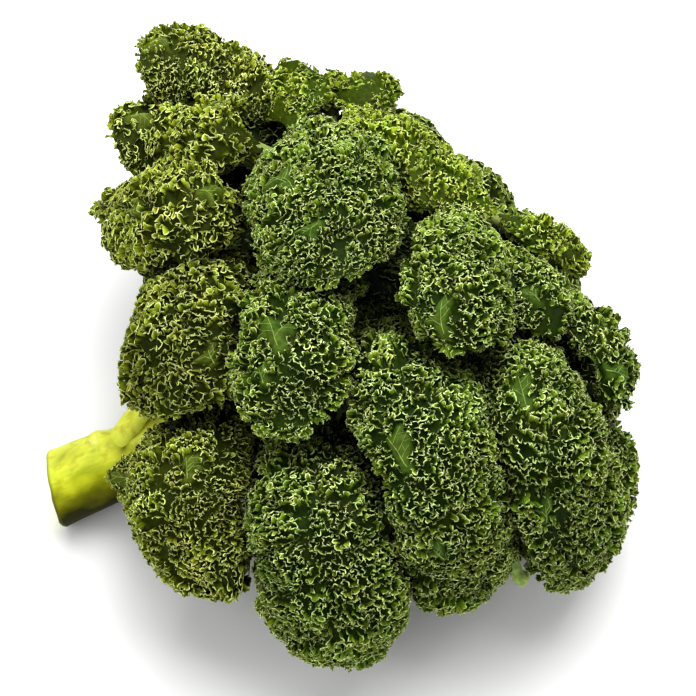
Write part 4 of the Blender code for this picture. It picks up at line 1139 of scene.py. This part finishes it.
# smooth patches of each leaf: ends of the vein through them on the leaf's layout, and reach to each side, mm
PATCHES = {
    "leaf_g": ((2.5, 114.0, 9.3, 94.0, 3.4), (9.5, 134.0, 12.7, 125.0, 2.2)),
    "leaf_f": ((14.5, 124.4, 17.6, 97.9, 2.6), (6.3, 152.0, 16.5, 153.0, 2.6), (18.0, 112.0, 28.0, 94.0, 2.2)),
    "leaf_j": ((12.1, 118.1, 17.5, 100.0, 3.2),),
    "leaf_i": ((19.4, 144.0, 28.6, 124.0, 3.2), (13.2, 202.0, 17.0, 192.0, 2.2)),
    "leaf_e": ((-17.4, 66.0, -14.0, 54.0, 2.2),),
    "leaf_e_left": ((-8.0, 24.0, 4.0, 36.0, 4.2),),
    "leaf_k": ((20.6, 94.0, 17.0, 76.0, 2.8), (31.0, 152.0, 28.0, 142.0, 2.2)),
    "leaf_l_right": ((22.0, 79.0, 8.0, 86.0, 3.0),),
    "leaf_l": ((7.4, 62.0, 10.0, 52.0, 2.4),),
    "leaf_a": ((9.0, 96.0, 14.0, 86.0, 3.0), (-12.2, 34.0, -8.0, 26.0, 2.2)),
    "leaf_b": ((8.0, 120.0, 11.0, 108.0, 3.0), (16.0, 66.0, 20.0, 56.0, 2.2)),
    "leaf_c": ((6.8, 43.0, 8.0, 33.0, 3.0), (-4.6, 96.0, -2.0, 86.0, 2.6)),
    "leaf_d": ((30.0, 60.0, 34.0, 50.0, 2.6), (-28.4, 108.0, -24.0, 99.0, 2.2)),
}
LOOSE = {"leaf_b", "leaf_c", "leaf_c_back", "leaf_d"}
SLOT_OF = {}
for row in LEAVES:
    part = row[0].split("_")[1]
    # hidden leaves at the back, below and inside take the darker palette, painted shade
    SLOT_OF[row[0]] = (
        "leaf_dark" if part in ("back", "left", "low", "inner", "mid")
        else "leaf_olive" if part in ("a", "b", "c", "d", "e")
        else "leaf_yellow" if part in ("m", "n", "o", "p")
        else "leaf_green")

# the stalk's colour is painted paler toward this side and darker away from it: painted light and shade
LIT = unit(vec(-0.30, 0.44, 0.70))       # side of the stalk that stays pale
CUT_HIGH = unit(vec(0.0, 0.819, 0.574) - AXIS * (vec(0.0, 0.819, 0.574) @ AXIS))


def stalk_piece():
    """The cut stalk: its skin with leaf scars, its cut face and its closed far end."""
    across = unit(np.cross(AXIS, vec(0, 0, 1)))
    up = unit(np.cross(across, AXIS))
    sides = 84
    run = np.concatenate([np.linspace(0.0, 128.0, 82)[0:], np.linspace(134.0, STALK_LENGTH, 16)])
    th = 2 * math.pi * np.arange(sides) / sides
    gx, gt = np.meshgrid(run, th, indexing="ij")
    s = gx / STALK_LENGTH
    radius = STALK_RADIUS_CUT + (STALK_RADIUS_TOP - STALK_RADIUS_CUT) * s ** 1.2
    # gentle swellings and flats along the stalk; the angle is seam free through its sine and cosine
    cx, cy = np.cos(gt) * 20.0, np.sin(gt) * 20.0
    wave = noise2(gx + cx, cy, 26.0, 5) * 0.9 + noise2(gx * 0.6 + cx, cy - gx * 0.2, 11.0, 6) * 0.35
    fibre = noise2(gx * 0.12 + cx, cy, 2.6, 7) * 0.16
    radius = radius * 0.985 + wave * 0.75 + fibre - 0.5
    radius += 0.9 * np.exp(-gx / 9.0) - 1.8 * np.exp(-((gx - 8.0) / 7.0) ** 2) * smoothstep((np.sin(gt) - 0.25) / 0.6)
    radius += 1.4 * np.exp(-((gx - 40.0 - 5.0 * np.cos(gt)) / 3.4) ** 2) - 1.2 * np.exp(-((gx - 48.0 - 5.0 * np.cos(gt)) / 4.5) ** 2)
    scar = np.zeros_like(radius)
    for at_run, at_angle, size, lift in SCARS:
        d_t = (gt - math.radians(at_angle) + math.pi) % (2 * math.pi) - math.pi
        dx, dy = (gx - at_run) / size, d_t * radius / (size * 1.45)
        d = np.hypot(dx, dy)
        rim = np.exp(-((d - 1.0) / 0.22) ** 2)
        radius += lift * rim * (1.0 + 0.5 * np.clip(-dx, -1, 1)) - 0.8 * lift * smoothstep((0.9 - d) / 0.35)
        radius += lift * 0.9 * np.exp(-((dx - 1.4) / 0.9) ** 2 - (dy / 1.1) ** 2)
        scar = np.maximum(scar, smoothstep((0.95 - d) / 0.3))
    # the cut end is rounded over a little and slopes
    lip = np.clip(1.0 - gx / 2.2, 0.0, 1.0)
    radius -= 1.5 * lip ** 2
    fade = np.clip(1.0 - gx / 34.0, 0, 1)
    tall = (across @ CUT_HIGH) * np.cos(gt) + (up @ CUT_HIGH) * np.sin(gt)
    # darker marks on the stalk, partly painted shade in its creases
    marks_and_crease_shade = np.zeros_like(radius)
    for at_run, at_tall, long_, wide, strength in MARKS_AND_CREASE_SHADE:
        ragged = 1.0 + 0.5 * noise2(gx + cx, cy, 5.0, 21)
        marks_and_crease_shade = np.maximum(marks_and_crease_shade, strength * np.exp(-((gx - at_run) / long_) ** 2 - ((tall - at_tall) / wide) ** 2) * ragged)
    slope = ((radius * tall - STALK_RADIUS_CUT) * CUT_SLANT + 1.5 + 0.7 * noise2(cx, cy, 7.0, 12)) * fade
    centre = np.array([stalk_point(v / STALK_LENGTH) for v in run]) - SHIFT
    pos = centre[:, None] + (across * np.cos(gt)[..., None] + up * np.sin(gt)[..., None]) * radius[..., None]
    pos = pos + AXIS * slope[..., None]
    pos = pos.reshape(-1, 3)
    k = np.arange(sides)
    i = np.arange(len(run) - 1)[:, None] * sides
    quad = np.stack([i + k, i + (k + 1) % sides, i + sides + (k + 1) % sides, i + sides + k], -1).reshape(-1, 4)
    ur = np.repeat(run[:-1], sides) / STALK_LENGTH
    un = np.repeat(run[1:], sides) / STALK_LENGTH
    va, vb = np.tile(k / sides, len(run) - 1), np.tile((k + 1) / sides, len(run) - 1)
    uv = np.stack([np.stack([ur, ur, un, un], 1), np.stack([va, vb, vb, va], 1)], -1)
    tris = np.concatenate([quad[:, [0, 1, 2]], quad[:, [0, 2, 3]]])
    uv = np.concatenate([uv[:, [0, 1, 2]], uv[:, [0, 2, 3]]]) * (1.0, 0.72)
    # cut face in rings, a little hollow in the pith
    rings, first = [], pos[:sides]
    middle = first.mean(0)
    shares = (0.93, 0.84, 0.72, 0.58, 0.44, 0.30, 0.15)
    for share in shares:
        hollow = 1.5 * smoothstep((0.8 - share) / 0.5) - 0.25 * math.exp(-((share - 0.80) / 0.07) ** 2)
        grit = 0.22 * noise2(np.cos(th) * share * 25, np.sin(th) * share * 25, 3.0, 9)
        rings.append(middle + (first - middle) * share + AXIS * (hollow + grit)[:, None])
    face_pos = np.concatenate(rings + [(middle + AXIS * 1.6)[None]])
    start = len(pos)
    face_quads, face_uv = [], []
    prev, r_prev = np.arange(sides), 1.0
    circle = np.stack([np.cos(th), np.sin(th)], 1)
    for n, share in enumerate(shares):
        cur = start + n * sides + np.arange(sides)
        face_quads.append(np.stack([prev, cur, np.roll(cur, -1), np.roll(prev, -1)], 1))
        c0, c1 = circle, np.roll(circle, -1, 0)
        face_uv.append(np.stack([c0 * r_prev, c0 * share, c1 * share, c1 * r_prev], 1) * 0.5 + 0.5)
        prev, r_prev = cur, share
    fq, fu = np.concatenate(face_quads), np.concatenate(face_uv)
    tip = start + len(shares) * sides
    fan = np.stack([prev, np.full(sides, tip), np.roll(prev, -1)], 1)
    fan_uv = np.stack([circle * r_prev, circle * 0, np.roll(circle, -1, 0) * r_prev], 1) * 0.5 + 0.5
    ftris = np.concatenate([fq[:, [0, 1, 2]], fq[:, [0, 2, 3]], fan])
    fuv = np.concatenate([fu[:, [0, 1, 2]], fu[:, [0, 2, 3]], fan_uv]) * (0.26, 0.26) + (0.0, 0.735)
    # far end, inside the head
    last = (len(run) - 1) * sides
    end = len(pos) + len(face_pos)
    etris = np.stack([np.full(sides, end), last + k, last + (k + 1) % sides], 1)
    euv = np.stack([circle * 0, circle, np.roll(circle, -1, 0)], 1) * 0.5 + 0.5
    euv = euv * (0.1, 0.1) + (0.3, 0.8)
    all_pos = np.concatenate([pos, face_pos, (centre[-1])[None]])
    flesh = np.concatenate([np.zeros(len(pos)), np.concatenate([np.full(sides, 1.0 - v) for v in shares]) + 0.12, [1.12, 0.5]])
    scar = np.concatenate([scar.reshape(-1), np.zeros(len(face_pos) + 1)])
    marks_and_crease_shade = np.concatenate([np.clip(marks_and_crease_shade, 0, 1).reshape(-1), np.zeros(len(face_pos) + 1)])
    local = np.stack([(all_pos - centre[0]) @ AXIS, (all_pos - centre[0]) @ across, (all_pos - centre[0]) @ up], 1)
    # the third grain value is the distance toward LIT, which drives the stalk's painted light and shade
    local = np.concatenate([local, ((all_pos - centre[0]) @ LIT)[:, None]], 1)[:, [0, 1, 3]]
    local[:len(pos), 0] = gx.reshape(-1)
    parts = [dict(pos=all_pos, tris=np.concatenate([tris, ftris, etris]), uv=np.concatenate([uv, fuv, euv]),
                  cell=(0, 0, 1, 1), depth=flesh, tone=scar, rib=marks_and_crease_shade, grain=local)]
    return parts, across, up


# run from the cut, angle round the stalk (0 = low front side, 90 = top), half length, lift; mm and degrees
SCARS = (
    (34.0, 112.0, 4.6, 1.9), (61.0, 62.0, 5.0, 1.0), (44.0, 196.0, 5.5, 1.2), (24.0, 262.0, 5.5, 1.0),
    (66.0, 320.0, 5.0, 1.0), (70.0, 150.0, 5.5, 1.2), (88.0, 40.0, 5.5, 1.0), (84.0, 238.0, 5.5, 1.0),
)

# darker marks, partly painted shade in creases: run from the cut, place across the stalk (-1 low edge, 1 high edge),
# length, width, strength
MARKS_AND_CREASE_SHADE = (
    (12.0, 0.74, 9.0, 0.16, 0.62), (50.0, 0.40, 5.0, 0.28, 0.85), (3.0, -0.25, 5.0, 0.30, 0.55),
    (30.0, -0.35, 10.0, 0.12, 0.40), (72.0, -0.10, 9.0, 0.20, 0.45),
)

solids = {}
for name_, obj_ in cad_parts.items():
    co_ = [tuple(v.co) for v in obj_.data.vertices]
    solids[name_] = (co_, [tuple(f.vertices) for f in obj_.data.polygons])


def others_of(name):
    verts, faces = [], []
    for key, (v, f) in solids.items():
        if key != name:
            faces += [tuple(i + len(verts) for i in x) for x in f]
            verts += v
    return BVHTree.FromPolygons(verts, faces)


stalk_parts, stalk_across, stalk_up = stalk_piece()
broad = catmull([vec(p) for p in ((-156, -117, 32), (-149, -111, 47), (-140, -103, 61), (-127, -94, 75), (-110, -84, 90), (-92, -70, 104))], 10) - SHIFT
size_ = np.interp(np.linspace(0, 1, len(broad)), (0, 0.1, 0.24, 0.5, 1), (17.0, 14.5, 11.5, 9.5, 7.0))
size_ *= 1.0 + 0.05 * noise2(np.arange(len(broad)) * 1.0, np.zeros(len(broad)), 4.0, 15)
pos, tris, uv = tube(broad, size_, 24, 0.70, np.tile(-AXIS, (len(broad), 1)))
# the flared base's third grain value sets its place in the stalk's painted light and shade
stalk_parts.append(dict(pos=pos, tris=tris, uv=uv, cell=(0.42, 0.75, 0.5, 0.22), depth=0.0, tone=0.0, rib=0.0,
                        grain=np.stack([(pos - broad[0]) @ AXIS + 30.0, (pos - broad[0]) @ stalk_across, (pos - broad[0]) @ stalk_up * 0.4 + 14.0], 1)))
stalk_obj = mesh_piece("stalk_flesh", stalk_parts, stalk_material())
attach(stalk_obj, "root")
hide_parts("stalk")
for number, row in enumerate(LEAVES):
    name = row[0]
    blade = Blade(row, number + 1)
    blade.name = name
    others = others_of(name)
    blade.open = openness(blade, others)
    patches = PATCHES.get(name, ())
    style = "loose" if name in LOOSE else "plain" if name.split("_")[1] in ("back", "left", "low", "inner", "mid") else "tight"
    slot = SLOT_OF[name]
    pos, tris, depth, uv, tone = frill(blade, style, patches, others)
    parts = [dict(pos=pos, tris=tris, depth=depth, tone=tone, rib=0.0, uv=uv, cell=(0.0, 0.0, 1.0, 0.60))]
    pos, tris, depth, uv, tone, veil = lamina(blade, patches, style)
    parts.append(dict(pos=pos, tris=tris, depth=depth, tone=tone, rib=veil, uv=uv, cell=(0.0, 0.62, 0.80, 0.38)))
    pos, tris, uv, tone = rib(blade)
    parts.append(dict(pos=pos, tris=tris, depth=3.0, tone=tone, rib=1.0, uv=uv, cell=(0.81, 0.62, 0.19, 0.20)))
    small = veins(blade, patches)
    for k, (pos, tris, uv) in enumerate(small):
        high = 0.17 / len(small)
        parts.append(dict(pos=pos, tris=tris, depth=3.0, tone=0.95, rib=0.72, uv=uv, cell=(0.81, 0.83 + k * high, 0.19, high * 0.8)))
    if name == "leaf_inner_5":
        line = catmull([vec(q) for q in ((100, -184, 84), (101, -197, 66), (103, -205, 57), (107, -210, 52), (111, -211, 50))], 6) - SHIFT
        pos, tris, uv = tube(line, np.interp(np.linspace(0, 1, len(line)), (0, 0.6, 0.9, 1), (4.8, 4.4, 5.4, 4.0)), 12)
        parts.append(dict(pos=pos, tris=tris, depth=2.0, tone=1.45, rib=1.0, uv=uv, cell=(0.81, 0.83, 0.19, 0.17)))
    if name == "leaf_c_back":
        # a petiole darkened with painted shade that closes the dark hollow beside this leaf
        line = catmull([vec(q) for q in ((-30, 30, 82), (-52, 52, 79), (-71, 71, 75), (-90, 90, 68), (-104, 104, 60))], 6) - SHIFT
        pos, tris, uv = tube(line, np.interp(np.linspace(0, 1, len(line)), (0, 0.5, 1), (8.5, 7.5, 5.0)), 12)
        parts.append(dict(pos=pos, tris=tris, depth=8.0, tone=0.35, rib=0.3, uv=uv, cell=(0.81, 0.83, 0.19, 0.17)))
    obj = mesh_piece(name + "_foliage", parts, MATERIALS[slot])
    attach(obj, "root")
    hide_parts(name)


# ---------------------------------------------------- floor, light and camera
scene = bpy.context.scene
floor_mesh = bpy.data.meshes.new("floor")
floor_mesh.from_pydata([(-4, -4, 0), (4, -4, 0), (4, 4, 0), (-4, 4, 0)], [], [(0, 1, 2, 3)])
floor_obj = bpy.data.objects.new("floor", floor_mesh)
scene.collection.objects.link(floor_obj)
pale = bpy.data.materials.new("pale_floor")
pale.use_nodes = True
pale.node_tree.nodes["Principled BSDF"].inputs["Base Color"].default_value = (0.96, 0.96, 0.96, 1)
pale.node_tree.nodes["Principled BSDF"].inputs["Roughness"].default_value = 0.9
floor_mesh.materials.append(pale)
floor_obj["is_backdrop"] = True

world = bpy.data.worlds.new("studio")
world.use_nodes = True
world.node_tree.nodes["Background"].inputs["Color"].default_value = (1, 1, 1, 1)
world.node_tree.nodes["Background"].inputs["Strength"].default_value = 0.52
scene.world = world


def area_light(name, size, power, at_, to):
    data = bpy.data.lights.new(name, "AREA")
    data.shape = "SQUARE"
    data.size = size
    data.energy = power
    obj = bpy.data.objects.new(name, data)
    obj.location = at_
    obj.rotation_mode = "QUATERNION"
    obj.rotation_quaternion = (Vector(to) - Vector(at_)).to_track_quat("-Z", "Y")
    scene.collection.objects.link(obj)


area_light("key", 1.8, 56.0, (0.20, 0.48, 1.85), (0, 0, 0.1))
area_light("fill", 1.6, 13.0, (-1.0, -1.3, 1.6), (0, 0, 0.1))

view_up = math.radians(55.0)
target = Vector((-ORIGIN[0], HEAD_CENTRE[1] - ORIGIN[1], 80.0)) * MM
eye = target + 1.5 * Vector((0.0, -math.cos(view_up), math.sin(view_up)))
lens = bpy.data.cameras.new("camera")
lens.lens = 119.4
lens.sensor_width = 36.0
camera = bpy.data.objects.new("camera", lens)
camera.location = eye
camera.rotation_mode = "QUATERNION"
camera.rotation_quaternion = (target - eye).to_track_quat("-Z", "Y")
scene.collection.objects.link(camera)
scene.camera = camera
scene.view_settings.view_transform = "Standard"

low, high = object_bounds()
